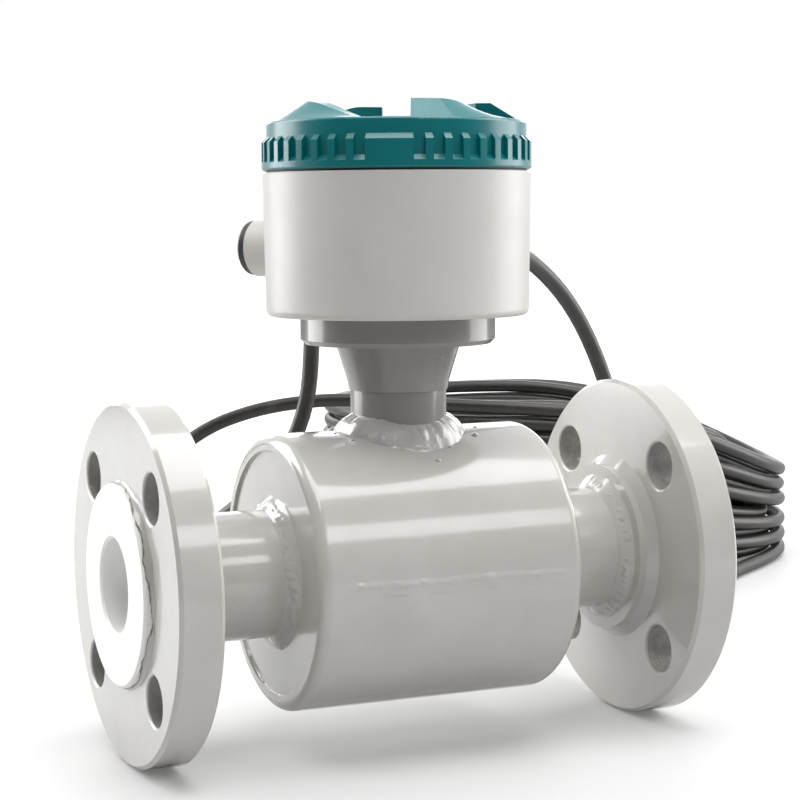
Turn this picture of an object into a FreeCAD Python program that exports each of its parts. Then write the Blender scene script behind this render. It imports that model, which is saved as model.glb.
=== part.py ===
"""Electromagnetic flow meter: flanged measuring tube, round terminal head with a screw cover, two free cables.

The row frame has +X along the measuring bore, +Z up through the neck, and its origin at the middle of the bore.
All sizes are in millimetres and stand in the spreadsheet "Sizes".
"""
import FreeCAD
import Part
import Sketcher
import math
import os

from FreeCAD import Placement, Rotation, Vector

SIZES = [
    # flanges and measuring tube
    ("lay_length", 200.0, "face to face over the liner flares"),
    ("bore_radius", 15.2, "inside of the liner"),
    ("pipe_outer_radius", 21.1, "measuring pipe, outside"),
    ("pipe_wall", 3.1, "measuring pipe wall"),
    ("liner_flare_radius", 32.7, "liner flare on the flange face"),
    ("liner_flare_thick", 3.0, "thickness of the liner flare"),
    ("liner_lip", 0.8, "bevel on the liner's edges"),
    ("flange_radius", 58.75, "flange outside"),
    ("flange_thick", 14.4, "flange plate"),
    ("flange_edge", 1.2, "chamfer on the flange rims"),
    ("hub_radius", 28.9, "hub on the inner side of the flange"),
    ("hub_length", 5.6, "hub height above the plate"),
    ("hub_foot", 3.2, "slope at the foot of the hub"),
    ("pitch_radius", 44.45, "bolt circle radius"),
    ("bolt_hole_radius", 8.0, "bolt hole"),
    ("bolt_hole_edge", 0.9, "rounding at a bolt hole's mouth"),
    ("bolt_count", 4.0, "bolt holes in a flange"),
    ("weld_leg", 4.2, "leg of the weld beads"),
    # coil housing
    ("shell_radius", 45.75, "coil housing, outside"),
    ("shell_half_length", 46.3, "coil housing, half length over its rolled lips"),
    ("shell_lip_round", 3.6, "rolled edge of the coil housing"),
    ("shell_wall", 3.0, "coil housing wall"),
    ("lip_wall", 5.3, "thickness of the coil housing's rolled lips"),
    ("end_plate_thick", 5.0, "end plate thickness"),
    ("end_plate_inset", 1.0, "end plate face behind the lip"),
    ("fit_gap", 0.05, "radial clearance of seated pieces"),
    ("loose_gap", 0.3, "clearance between pieces that don't seat"),
    # magnetic circuit and electrodes
    ("yoke_wall", 2.4, "return band wall"),
    ("yoke_half_width", 14.0, "return band, half width"),
    ("yoke_room", 2.75, "room between return band and coil housing"),
    ("shoe_thick", 3.0, "pole shoe thickness"),
    ("shoe_half_length", 19.0, "pole shoe, half length"),
    ("shoe_angle", 104.0, "pole shoe, angle round the pipe in degrees"),
    ("core_radius", 8.7, "pole core"),
    ("winding_radius", 17.0, "field coil, outside"),
    ("winding_room", 5.15, "from the field coil's outer end to the return band's inner radius"),
    ("electrode_radius", 2.0, "electrode pin"),
    ("electrode_length", 19.0, "electrode pin length"),
    ("bush_radius", 4.0, "electrode bush"),
    ("bush_flange_radius", 6.5, "electrode bush flange"),
    ("bush_flange_thick", 2.0, "electrode bush flange thickness"),
    ("nut_height", 3.0, "electrode nut height"),
    ("nut_corner", 4.4, "electrode nut, half width across corners"),
    # neck
    ("neck_radius", 16.1, "neck tube, outside"),
    ("neck_wall", 3.6, "neck tube wall"),
    ("neck_rise", 13.25, "neck tube above the coil housing"),
    ("cone_height", 15.4, "adapter cone from the neck tube to the collar"),
    ("collar_thick", 9.4, "collar thickness"),
    ("collar_radius", 32.6, "collar"),
    ("collar_edge", 1.6, "chamfer under the collar"),
    ("cone_foot_radius", 16.6, "adapter cone at its foot"),
    ("cone_top_radius", 20.9, "adapter cone under the collar"),
    ("adapter_bore", 9.0, "wire way radius through the adapter and the head floor"),
    ("spigot_length", 9.0, "adapter spigot inside the neck tube"),
    # head
    ("head_height", 47.45, "head from its foot to the shoulder under the cover"),
    ("head_foot_radius", 43.85, "head outside at its foot"),
    ("head_top_radius", 44.6, "head outside at its shoulder"),
    ("head_round", 2.2, "rounding at the foot of the head"),
    ("head_cavity_radius", 38.5, "inside of the head"),
    ("head_floor", 4.0, "floor thickness"),
    ("head_turn", 25.5, "turn of the head on its collar, degrees clockwise from above"),
    ("thread_radius", 41.0, "threaded spigot of the head"),
    ("thread_height", 10.0, "threaded spigot height"),
    ("entry_rise", 10.4, "cable entries above the terminal board"),
    ("boss_radius", 9.9, "cable entry boss"),
    ("boss_reach", 56.0, "boss end from the head axis"),
    ("entry_radius", 8.0, "cable entry thread"),
    ("entry_angle", 18.0, "cable entries from the head's back, degrees"),
    ("blank_angle", 60.0, "blanked entry from the head's back, degrees"),
    # cover
    ("seal_thick", 0.65, "cover seal"),
    ("seal_inset", 1.3, "cover seal behind the head's edge"),
    ("cover_height", 16.0, "cover from its foot to its flat top"),
    ("cover_ring_radius", 44.8, "grip ring"),
    ("cover_ring_height", 10.8, "grip ring height"),
    ("cover_band_radius", 43.1, "plain band and slot floors"),
    ("cover_edge", 1.0, "rounding on top of the cover"),
    ("cover_lip", 0.7, "bevel under the grip ring"),
    ("head_lip", 0.4, "bevel on the head's shoulder"),
    ("cover_roof", 4.0, "roof thickness"),
    ("slot_foot", 2.5, "height of the ring below the slots"),
    ("slot_steps", 44.0, "slot pitch steps round the ring"),
    ("slot_run", 9.0, "slots between two plain pads"),
    ("slot_width", 3.8, "slot width"),
    ("grip_turn", -1.45, "turn of the slots against the swirl grips, degrees"),
    ("slot_ledge", 1.7, "rise of the sloping foot of a slot"),
    ("thread_gap", 0.35, "radial clearance of the cover thread"),
    ("thread_pitch", 2.0, "pitch of the cover thread"),
    ("wedge_rise", 6.2, "height of the swirl grips"),
    ("wedge_inner_radius", 27.0, "swirl grips, inside"),
    ("wedge_crest_radius", 32.0, "start of the grips' outer slope"),
    ("wedge_outer_radius", 42.0, "swirl grips, outside"),
    ("wedge_flat", 27.0, "end of a grip's flat stretch, degrees from its channel"),
    ("wedge_ramp", 45.0, "falling stretch of a grip, degrees"),
    ("channel_half_width", 5.5, "half width of the straight channels"),
    # glands
    ("cable_radius", 3.25, "cable"),
    ("gland_thread_length", 12.0, "gland thread in its entry"),
    ("gland_hex", 10.0, "gland body, half its width across flats"),
    ("gland_hex_thick", 5.0, "gland body hexagon"),
    ("gland_lip", 4.0, "gland bore behind the seal"),
    ("gland_bore", 5.6, "gland bore round the seal"),
    ("gland_seal_start", 58.0, "inner end of the gland seal, from the head axis"),
    ("collet_radius", 7.0, "clamping sleeve of the gland body"),
    ("collet_length", 8.0, "clamping sleeve length"),
    ("gland_seal_rise", 7.5, "gland seal beyond the clamping sleeve"),
    ("gland_nut_length", 23.7, "gland dome nut"),
    ("gland_nut_hex", 9.6, "gland dome nut, half its width across flats"),
    ("gland_nut_hex_length", 10.0, "hexagonal stretch of the dome nut"),
    ("gland_mouth_radius", 5.3, "gland dome nut at its mouth"),
    ("plug_radius", 9.4, "blanking plug head"),
    ("plug_thick", 3.2, "blanking plug head thickness"),
    ("plug_round", 0.9, "rounding of the plug head"),
    ("plug_thread_length", 8.0, "blanking plug thread"),
    ("tail_inner_radius", 22.0, "inner end of the cable inside the head, from the head axis"),
    # terminal board
    ("board_radius", 33.5, "terminal board"),
    ("board_thick", 1.6, "terminal board thickness"),
    ("standoff_height", 6.2, "terminal board above the head's floor"),
    ("standoff_radius", 2.8, "board standoff"),
    ("standoff_circle", 29.0, "standoff circle radius"),
    ("board_screw_radius", 1.4, "board screw shank"),
    ("head_screw_circle", 22.0, "circle of the screws that hold the head, radius"),
    ("head_screw_radius", 2.0, "head screw shank"),
    ("head_screw_cap", 3.5, "head screw, cap radius"),
    ("head_screw_cap_height", 4.0, "head screw, cap height"),
    ("head_screw_depth", 6.0, "head screw depth in the collar"),
    ("block_length", 30.0, "terminal block"),
    ("block_depth", 9.0, "terminal block, front to back"),
    ("block_height", 12.0, "terminal block height"),
    ("block_screw_radius", 1.5, "terminal screw recess"),
    ("block_screw_deep", 1.5, "depth of a terminal screw recess"),
    ("bundle_radius", 3.5, "bundle of inner wires"),
    ("bundle_reach", 17.0, "the wires' way through the board, from the head axis"),
    ("bundle_room", 1.5, "room round the wires in the board"),
    ("signal_count", 6.0, "ways of the signal terminals"),
    ("coil_count", 4.0, "ways of the coil terminals"),
    ("coil_block_back", 16.0, "front of the coil terminals behind the head axis"),
    ("cut_over", 10.0, "how far the widest cutters run past the piece"),
    # cable coils
    ("coil_wide", 125.0, "cable coil, outer half width"),
    ("coil_deep", 105.0, "cable coil, outer half depth"),
    ("coil_band", 28.0, "cable coil, width of its bundle"),
    ("coil_stack", 43.9, "height of the lower cable coil"),
    ("coil_stack_top", 44.2, "height of the upper cable coil"),
    ("coil_place_x", 229.6, "centre of the cable coils"),
    ("coil_place_y", 316.0, "centre of the cable coils"),
    ("coil_turn", -24.1, "turn of the cable coils' long axis, degrees"),
    ("sleeve_radius", 3.5, "shrink sleeve on a cable end"),
    ("sleeve_length", 18.0, "shrink sleeve length"),
    ("ferrule_radius", 0.9, "stripped core in its ferrule"),
    ("ferrule_length", 22.0, "stripped core length"),
]

doc = FreeCAD.newDocument("flow_meter")
sheet = doc.addObject("Spreadsheet::Sheet", "Sizes")
for row, (alias, value, note) in enumerate(SIZES, start=1):
    sheet.set("A%d" % row, alias)
    sheet.set("B%d" % row, repr(value))
    sheet.set("C%d" % row, note)
    sheet.setAlias("B%d" % row, alias)
doc.recompute()


class Length:
    """A size with its value and the spreadsheet expression that gives it."""

    def __init__(self, value, text):
        self.value = float(value)
        self.text = text

    @staticmethod
    def of(other):
        return other if isinstance(other, Length) else Length(other, repr(float(other)))

    def __add__(self, other):
        other = Length.of(other)
        return Length(self.value + other.value, "(%s + %s)" % (self.text, other.text))

    def __sub__(self, other):
        other = Length.of(other)
        return Length(self.value - other.value, "(%s - %s)" % (self.text, other.text))

    def __mul__(self, other):
        other = Length.of(other)
        return Length(self.value * other.value, "(%s * %s)" % (self.text, other.text))

    def __truediv__(self, other):
        other = Length.of(other)
        return Length(self.value / other.value, "(%s / %s)" % (self.text, other.text))

    def __neg__(self):
        return Length(-self.value, "(0 - %s)" % self.text)

    __radd__ = __add__
    __rmul__ = __mul__

    def __rsub__(self, other):
        return Length.of(other) - self


class Sizes:
    """The spreadsheet's cells as attributes."""

    def __getattr__(self, name):
        return Length(getattr(sheet, name), "Sizes." + name)


S = Sizes()
ZERO = Length(0, "0")

# the main levels and seats, each from the piece that carries the next
flange_face = S.lay_length / 2 - S.liner_flare_thick
flange_back = flange_face - S.flange_thick
hub_face = flange_back - S.hub_length
pipe_bore = S.pipe_outer_radius - S.pipe_wall
shell_bore = S.shell_radius - S.shell_wall
lip_bore = S.shell_radius - S.lip_wall
end_plate_radius = lip_bore - S.fit_gap
yoke_outer = shell_bore - S.yoke_room
yoke_inner = yoke_outer - S.yoke_wall
neck_top = S.shell_radius + S.neck_rise
collar_bottom = neck_top + S.cone_height
head_base = collar_bottom + S.collar_thick
floor_top = head_base + S.head_floor
board_height = floor_top + S.standoff_height
board_top = board_height + S.board_thick
cable_height = board_top + S.entry_rise
head_shoulder = head_base + S.head_height
nodes = {}


def keep(name, item):
    """Names a finished sub-part, which is written to a file of that name."""
    item.Label = name
    nodes[name] = item
    return item


def bind(item, **sizes):
    """Binds an object's properties to the sheet."""
    for prop, size in sizes.items():
        item.setExpression(prop, Length.of(size).text)
    return item


def origin_plane(body, role):
    return [f for f in body.Origin.OriginFeatures if f.Role == role][0]


def new_body(name):
    return doc.addObject("PartDesign::Body", name + "_form")


def flat_sketch(body, name, role, height=ZERO):
    """An empty sketch on one of the body's origin planes, moved along the plane's normal by height."""
    sketch = body.newObject("Sketcher::SketchObject", name)
    sketch.AttachmentSupport = (origin_plane(body, role), [""])
    sketch.MapMode = "FlatFace"
    if height is not ZERO:
        sketch.setExpression("AttachmentOffset.Base.z", height.text)
    return sketch


def fix_point(sketch, edge, x, y):
    """Holds the start point of an edge at x, y from the sketch origin."""
    for size, kind, axis in ((x, "DistanceX", -2), (y, "DistanceY", -1)):
        if size is ZERO:
            sketch.addConstraint(Sketcher.Constraint("PointOnObject", edge, 1, axis))
        else:
            index = sketch.addConstraint(Sketcher.Constraint(kind, -1, 1, edge, 1, size.value))
            sketch.setExpression("Constraints[%d]" % index, size.text)


def outline(sketch, points):
    """A closed outline through points, each held by its two coordinates."""
    points = [(p[0] if p[0] is ZERO else Length.of(p[0]), p[1] if p[1] is ZERO else Length.of(p[1])) for p in points]
    places = [Vector(x.value, y.value, 0) for x, y in points]
    first = sketch.GeometryCount
    count = len(places)
    for i in range(count):
        sketch.addGeometry(Part.LineSegment(places[i], places[(i + 1) % count]))
    for i in range(count):
        sketch.addConstraint(Sketcher.Constraint("Coincident", first + i, 2, first + (i + 1) % count, 1))
    for i, (x, y) in enumerate(points):
        fix_point(sketch, first + i, x, y)


def turned(name, points, axis):
    """A body turned about X (H_Axis) or Z (V_Axis) from an outline in the XZ plane."""
    body = new_body(name)
    sketch = flat_sketch(body, name + "_profile", "XZ_Plane")
    outline(sketch, points)
    turn = body.newObject("PartDesign::Revolution", name + "_turned")
    turn.Profile = sketch
    turn.ReferenceAxis = (sketch, [axis])
    turn.Angle = 360.0
    body.Tip = turn
    doc.recompute()
    return body


def circle_edges(shape, radius, along, place):
    """Names of the full circles of that radius whose centre lies at place along an axis."""
    found = []
    for i, edge in enumerate(shape.Edges, start=1):
        if edge.Curve.TypeId != "Part::GeomCircle":
            continue
        centre = edge.Curve.Center.dot(along)
        if abs(edge.Curve.Radius - radius.value) < 1e-4 and abs(centre - place.value) < 1e-4:
            found.append("Edge%d" % i)
    return found


def dressed(body, kind, name, size, rims):
    """Rounds (Fillet) or bevels (Chamfer) the body's circular rims: rims are (radius, axis, place)."""
    base = body.Tip
    names = []
    for radius, along, place in rims:
        names += circle_edges(base.Shape, radius, along, place)
    feature = body.newObject("PartDesign::" + kind, name)
    feature.Base = (base, names)
    bind(feature, **{"Radius" if kind == "Fillet" else "Size": size})
    body.Tip = feature
    doc.recompute()
    return feature


def round_holes(body, name, role, x, y, radius, count, axis_role, depth=None, height=ZERO, turned_over=False):
    """Round holes through the body, repeated about one of its origin axes."""
    before = body.Shape.Volume
    sketch = flat_sketch(body, name + "_circle", role, height)
    index = sketch.addGeometry(Part.Circle(Vector(x.value, y.value, 0), Vector(0, 0, 1), radius.value))
    for size, kind, axis in ((x, "DistanceX", -2), (y, "DistanceY", -1)):
        if size is ZERO:
            sketch.addConstraint(Sketcher.Constraint("PointOnObject", index, 3, axis))
        else:
            place = sketch.addConstraint(Sketcher.Constraint(kind, -1, 1, index, 3, size.value))
            sketch.setExpression("Constraints[%d]" % place, size.text)
    place = sketch.addConstraint(Sketcher.Constraint("Radius", index, radius.value))
    sketch.setExpression("Constraints[%d]" % place, radius.text)
    pocket = body.newObject("PartDesign::Pocket", name)
    pocket.Profile = sketch
    if depth is None:
        pocket.Type = "ThroughAll"
        pocket.Midplane = True
    else:
        pocket.Type = "Length"
        bind(pocket, Length=depth)
        pocket.Reversed = turned_over
    body.Tip = pocket
    doc.recompute()
    if count is not None:
        pattern = body.newObject("PartDesign::PolarPattern", name + "_ring")
        pattern.Originals = [pocket]
        pattern.Axis = (origin_plane(body, axis_role), [""])
        pattern.Angle = 360.0
        pattern.setExpression("Occurrences", Length.of(count).text)
        body.Tip = pattern
        doc.recompute()
    if not body.Shape.Volume < before:
        raise ValueError(name + " cuts nothing")
    return pocket


def placed(item, place):
    """Moves a piece to its place in the row frame."""
    if place is not None:
        item.Placement = place
    return item


def solid_feature(name, shape, place=None):
    """A Part::Feature for a form that neither a body nor a primitive gives."""
    item = doc.addObject("Part::Feature", name + "_solid")
    item.Shape = shape
    return placed(item, place)


def rod(name, radius, low, high, place=None, axis="V_Axis"):
    """A round rod from low to high."""
    if axis == "V_Axis":
        points = [(ZERO, low), (radius, low), (radius, high), (ZERO, high)]
    else:
        points = [(low, ZERO), (high, ZERO), (high, radius), (low, radius)]
    return placed(turned(name, points, axis), place)


def ring(name, inner, outer, low, high, place=None):
    """A plain ring about Z from low to high."""
    return placed(turned(name, [(inner, low), (outer, low), (outer, high), (inner, high)], "V_Axis"), place)


def box(name, length, width, height, place=None):
    """A box on the XY plane with one corner at its origin."""
    return placed(bind(doc.addObject("Part::Box", name), Length=length, Width=width, Height=height), place)


def hexagon(name, half_flats, low, high, place=None):
    """A hexagon bar about Z whose upper corners are bevelled."""
    corner = half_flats / math.cos(math.radians(30))
    bar = doc.addObject("Part::Prism", name + "_bar")
    bar.Polygon = 6
    bind(bar, Circumradius=corner, Height=high - low)
    bar.setExpression("Placement.Base.z", Length.of(low).text)
    bevel = (corner - half_flats) * 0.7
    limit = turned(name + "_limit", [
        (ZERO, low - 1), (corner + 0.2, low - 1), (corner + 0.2, high - bevel), (half_flats, high), (ZERO, high),
    ], "V_Axis")
    return placed(common(name, [bar, limit]), place)


def cut(name, base, tool, place=None):
    item = doc.addObject("Part::Cut", name)
    item.Base = base
    item.Tool = tool
    return placed(item, place)


def fuse(name, items, place=None):
    item = doc.addObject("Part::MultiFuse", name)
    item.Shapes = items
    item.Refine = True
    return placed(item, place)


def common(name, items, place=None):
    item = doc.addObject("Part::MultiCommon", name)
    item.Shapes = items
    return placed(item, place)


def together(name, items, place=None):
    """Like pieces that stand apart, as one sub-part."""
    item = doc.addObject("Part::Compound", name)
    item.Links = items
    return placed(item, place)


X_AXIS = Vector(1, 0, 0)
Y_AXIS = Vector(0, 1, 0)
Z_AXIS = Vector(0, 0, 1)
HEAD_PLACE = Placement(Vector(0, 0, 0), Rotation(Z_AXIS, -S.head_turn.value))
HALF_TURN = Rotation(Z_AXIS, 180)


def stand(x=0.0, y=0.0, z=0.0, rotation=None):
    return Placement(Vector(x, y, z), rotation or Rotation())


def around(radius, first_angle, count):
    """Places of like pieces round Z."""
    return [stand(*Rotation(Z_AXIS, first_angle + 360.0 / count * i).multVec(X_AXIS * radius.value))
            for i in range(count)]


def mirrored_pair(name, first, second, build):
    """Two like pieces at the two ends of the meter: the second is the first turned half round Z."""
    keep(name + "_" + first, build(name + "_" + first))
    other = build(name + "_" + second)
    other.Placement = Placement(Vector(0, 0, 0), HALF_TURN)
    keep(name + "_" + second, other)


# ---------------------------------------------------------------- measuring tube
def flange(name):
    """A slip-on flange with its hub at the -X end, four bolt holes on the diagonals and the hub weld."""
    inner = S.pipe_outer_radius + S.fit_gap
    body = turned(name, [
        (-flange_face, inner),
        (-flange_face, S.flange_radius - S.flange_edge),
        (-flange_face + S.flange_edge, S.flange_radius),
        (-flange_back - S.flange_edge, S.flange_radius),
        (-flange_back, S.flange_radius - S.flange_edge),
        (-flange_back, S.hub_radius + S.hub_foot),
        (-flange_back + S.hub_foot, S.hub_radius),
        (-hub_face, S.hub_radius),
        (-hub_face, inner + S.weld_leg),
        (-hub_face + S.weld_leg, inner),
    ], "H_Axis")
    diagonal = math.sqrt(0.5)
    round_holes(body, name + "_bolt_holes", "YZ_Plane", S.pitch_radius * diagonal, S.pitch_radius * diagonal,
                S.bolt_hole_radius, S.bolt_count, "X_Axis")
    mouths = [(S.bolt_hole_radius, X_AXIS, -flange_face), (S.bolt_hole_radius, X_AXIS, -flange_back)]
    dressed(body, "Fillet", name + "_mouths", S.bolt_hole_edge, mouths)
    return body


mirrored_pair("flange", "left", "right", flange)

pipe_form = turned("measuring_pipe", [
    (-flange_face, pipe_bore), (-flange_face, S.pipe_outer_radius),
    (flange_face, S.pipe_outer_radius), (flange_face, pipe_bore),
], "H_Axis")
round_holes(pipe_form, "bush_holes", "XZ_Plane", ZERO, ZERO, S.bush_radius + S.fit_gap, None, "")
keep("measuring_pipe", pipe_form)

liner_outer = pipe_bore - S.fit_gap
liner_end = S.lay_length / 2
liner_form = turned("liner", [
    (-liner_end + S.liner_lip, S.bore_radius), (-liner_end, S.bore_radius + S.liner_lip), (-liner_end, liner_outer),
    (liner_end, liner_outer), (liner_end, S.bore_radius + S.liner_lip), (liner_end - S.liner_lip, S.bore_radius),
], "H_Axis")
round_holes(liner_form, "pin_holes", "XZ_Plane", ZERO, ZERO, S.electrode_radius + S.fit_gap, None, "")
keep("liner", liner_form)


def liner_flare(name):
    """The liner's flare over the raised middle of the -X flange face."""
    return turned(name, [
        (-liner_end, pipe_bore), (-liner_end, S.liner_flare_radius - S.liner_lip),
        (-liner_end + S.liner_lip, S.liner_flare_radius), (-flange_face, S.liner_flare_radius),
        (-flange_face, pipe_bore),
    ], "H_Axis")


mirrored_pair("liner_flare", "left", "right", liner_flare)

# ---------------------------------------------------------------- coil housing
plate_face = S.shell_half_length - S.end_plate_inset
plate_back = plate_face - S.end_plate_thick
lip_end = S.shell_half_length
shell_form = turned("coil_housing", [
    (-lip_end, lip_bore), (-lip_end, S.shell_radius), (lip_end, S.shell_radius), (lip_end, lip_bore),
    (plate_back, lip_bore), (plate_back, shell_bore), (-plate_back, shell_bore), (-plate_back, lip_bore),
], "H_Axis")
dressed(shell_form, "Fillet", "rolled_lips", S.shell_lip_round,
        [(S.shell_radius, X_AXIS, -lip_end), (S.shell_radius, X_AXIS, lip_end)])
round_holes(shell_form, "neck_hole", "XY_Plane", ZERO, ZERO, S.neck_radius + S.fit_gap, None, "",
            depth=S.shell_radius + S.cut_over, turned_over=True)
keep("coil_housing", shell_form)


def end_plate(name):
    """The end plate at the -X end, with the weld bead that joins it to the pipe."""
    inner = S.pipe_outer_radius + S.fit_gap
    return turned(name, [
        (-plate_back, inner), (-plate_back, end_plate_radius), (-plate_face, end_plate_radius),
        (-plate_face, inner + S.weld_leg), (-plate_face - S.weld_leg, inner),
    ], "H_Axis")


mirrored_pair("end_plate", "left", "right", end_plate)

# ---------------------------------------------------------------- magnetic circuit
shoe_inner = S.pipe_outer_radius + S.fit_gap
shoe_outer = shoe_inner + S.shoe_thick
core_end = yoke_inner - S.fit_gap
coil_low = shoe_outer + S.loose_gap


def pole_core(name, place):
    """A pole: a curved shoe on the pipe with a round core up to the return band."""
    body = new_body(name + "_shoe")
    sketch = flat_sketch(body, name + "_shoe_profile", "XZ_Plane")
    half = S.shoe_half_length
    outline(sketch, [(-half, shoe_inner), (half, shoe_inner), (half, shoe_outer), (-half, shoe_outer)])
    shoe = body.newObject("PartDesign::Revolution", name + "_shoe_turned")
    shoe.Profile = sketch
    shoe.ReferenceAxis = (sketch, ["H_Axis"])
    shoe.Midplane = True
    bind(shoe, Angle=S.shoe_angle)
    body.Tip = shoe
    doc.recompute()
    core = rod(name + "_core", S.core_radius, shoe_inner - 3, yoke_inner + 3)
    limit = rod(name + "_limit", core_end, -half * 2, half * 2, axis="H_Axis")
    pipe_room = rod(name + "_pipe_room", shoe_inner, -half * 2, half * 2, axis="H_Axis")
    whole = common(name + "_whole", [fuse(name + "_joined", [body, core]), limit])
    return cut(name, whole, pipe_room, place)


for side_name, flip in (("upper", 0), ("lower", 180)):
    place = stand(rotation=Rotation(X_AXIS, flip))
    keep("pole_core_" + side_name, pole_core("pole_core_" + side_name, place))
    keep("field_coil_" + side_name, ring("field_coil_" + side_name, S.core_radius + S.loose_gap, S.winding_radius,
                                         coil_low, yoke_inner - S.winding_room, place))

keep("return_band", turned("return_band", [
    (-S.yoke_half_width, yoke_inner), (-S.yoke_half_width, yoke_outer),
    (S.yoke_half_width, yoke_outer), (S.yoke_half_width, yoke_inner),
], "H_Axis"))

# ---------------------------------------------------------------- electrodes
pin_start = S.bore_radius + 0.1
pin_way = S.electrode_radius + S.fit_gap
bush_start = pipe_bore + 0.6
bush_seat = S.pipe_outer_radius + S.fit_gap
bush_top = bush_seat + S.bush_flange_thick
nuts = []
for side_name, quarter in (("front", 90), ("rear", -90)):
    place = stand(rotation=Rotation(X_AXIS, quarter))
    keep("electrode_" + side_name, rod("electrode_" + side_name, S.electrode_radius, pin_start,
                                       pin_start + S.electrode_length, place))
    bush = turned("electrode_bush_" + side_name, [
        (pin_way, bush_start), (S.bush_radius, bush_start), (S.bush_radius, bush_seat),
        (S.bush_flange_radius, bush_seat), (S.bush_flange_radius, bush_top), (pin_way, bush_top),
    ], "V_Axis")
    keep("electrode_bush_" + side_name, placed(bush, place))
    blank = hexagon("nut_blank_" + side_name, S.nut_corner * math.cos(math.radians(30)), bush_top,
                    bush_top + S.nut_height)
    thread = rod("nut_thread_" + side_name, pin_way, bush_top - 1, bush_top + S.nut_height + 1)
    nuts.append(cut("electrode_nut_" + side_name, blank, thread, place))
keep("electrode_nuts", together("electrode_nuts", nuts))

# ---------------------------------------------------------------- neck and collar
neck_foot = shell_bore - 1.2
neck_bore = S.neck_radius - S.neck_wall
bead_radius = S.neck_radius + S.weld_leg * 0.8
bead_level = S.shell_radius + S.weld_leg * 0.7
bead_ring = turned("neck_weld_ring", [
    (neck_bore + 1, neck_foot - 8), (bead_radius, neck_foot - 8), (bead_radius, S.shell_radius),
    (S.neck_radius, S.shell_radius + S.weld_leg), (neck_bore + 1, S.shell_radius + S.weld_leg),
], "V_Axis")
bead_over = rod("neck_weld_limit", bead_level, -S.shell_half_length, S.shell_half_length, axis="H_Axis")
bead_under = rod("neck_weld_seat", S.shell_radius, -S.shell_half_length, S.shell_half_length, axis="H_Axis")
bead = cut("neck_weld", common("neck_weld_blank", [bead_ring, bead_over]), bead_under)
neck_wall = rod("neck_wall", S.neck_radius, neck_foot, neck_top)
neck_room = rod("neck_room", neck_bore, neck_foot - S.cut_over, neck_top + 1)
keep("neck_tube", cut("neck_tube", fuse("neck_joined", [neck_wall, bead]), neck_room))

spigot = neck_bore - S.fit_gap
gasket_inner = S.collar_radius - 6.5
gasket_outer = S.collar_radius - 4.5
gasket_depth = 1.2
adapter = turned("collar_adapter", [
    (S.adapter_bore, neck_top - S.spigot_length), (spigot, neck_top - S.spigot_length), (spigot, neck_top),
    (S.cone_foot_radius, neck_top), (S.cone_foot_radius + 0.5, neck_top + 3),
    (S.cone_top_radius, collar_bottom), (S.collar_radius - S.collar_edge, collar_bottom),
    (S.collar_radius, collar_bottom + S.collar_edge), (S.collar_radius, head_base),
    (gasket_outer + S.fit_gap, head_base), (gasket_outer + S.fit_gap, head_base - gasket_depth),
    (gasket_inner - S.fit_gap, head_base - gasket_depth), (gasket_inner - S.fit_gap, head_base),
    (S.adapter_bore, head_base),
], "V_Axis")
screw_tip = head_base - S.head_screw_depth
round_holes(adapter, "head_screw_holes", "XY_Plane", S.head_screw_circle, ZERO, S.head_screw_radius + S.fit_gap,
            4, "Z_Axis", depth=S.head_screw_depth + 0.5, height=head_base)
keep("collar_adapter", placed(adapter, HEAD_PLACE))

keep("head_gasket", turned("head_gasket", [
    (gasket_inner, head_base - gasket_depth), (gasket_outer, head_base - gasket_depth),
    (gasket_outer, head_base), (gasket_inner, head_base),
], "V_Axis"))

# ---------------------------------------------------------------- terminal head
thread_top = head_shoulder + S.thread_height
outer_form = turned("head_outside", [
    (ZERO, head_base), (S.head_foot_radius, head_base), (S.head_top_radius, head_shoulder - S.head_lip),
    (S.head_top_radius - S.head_lip, head_shoulder), (S.thread_radius, head_shoulder), (S.thread_radius, thread_top - 1), (S.thread_radius - 1, thread_top),
    (ZERO, thread_top),
], "V_Axis")
dressed(outer_form, "Fillet", "head_foot_round", S.head_round, [(S.head_foot_radius, Z_AXIS, head_base)])


def entry_place(degrees):
    """Place whose +Z points level out of the head, degrees from the head's back towards +X."""
    return Placement(Vector(0, 0, cable_height.value), Rotation(Z_AXIS, -degrees) * Rotation(X_AXIS, -90))


ENTRIES = (("right", S.entry_angle.value), ("left", -S.entry_angle.value), ("blank", -S.blank_angle.value))
bosses = []
hollows = [rod("head_cavity", S.head_cavity_radius, floor_top, thread_top + 5),
           rod("head_wire_way", S.adapter_bore, head_base - 1, floor_top + 1)]
for entry_name, degrees in ENTRIES:
    place = entry_place(degrees)
    bosses.append(rod("boss_" + entry_name, S.boss_radius, S.head_cavity_radius - 4, S.boss_reach, place))
    hollows.append(rod("entry_" + entry_name, S.entry_radius, S.head_cavity_radius - 5, S.boss_reach + 1, place))
for i, place in enumerate(around(S.head_screw_circle, 0, 4)):
    hollows.append(rod("head_screw_way_%d" % i, S.head_screw_radius + 0.2, head_base - 1, floor_top + 1, place))
keep("terminal_head", cut("terminal_head", fuse("head_and_bosses", [outer_form] + bosses),
                          fuse("head_hollows", hollows), HEAD_PLACE))

screws = []
cap_top = floor_top + S.head_screw_cap_height
for i, place in enumerate(around(S.head_screw_circle, 0, 4)):
    screw = turned("head_screw_%d" % i, [
        (ZERO, screw_tip), (S.head_screw_radius, screw_tip), (S.head_screw_radius, floor_top),
        (S.head_screw_cap, floor_top), (S.head_screw_cap, cap_top - 0.5), (S.head_screw_cap - 0.5, cap_top),
        (ZERO, cap_top),
    ], "V_Axis")
    socket = hexagon("head_screw_key_%d" % i, Length.of(1.5), cap_top - 2, cap_top + 1)
    screws.append(cut("head_screw_cut_%d" % i, screw, socket, place))
keep("head_screws", together("head_screws", screws, HEAD_PLACE))

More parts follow.
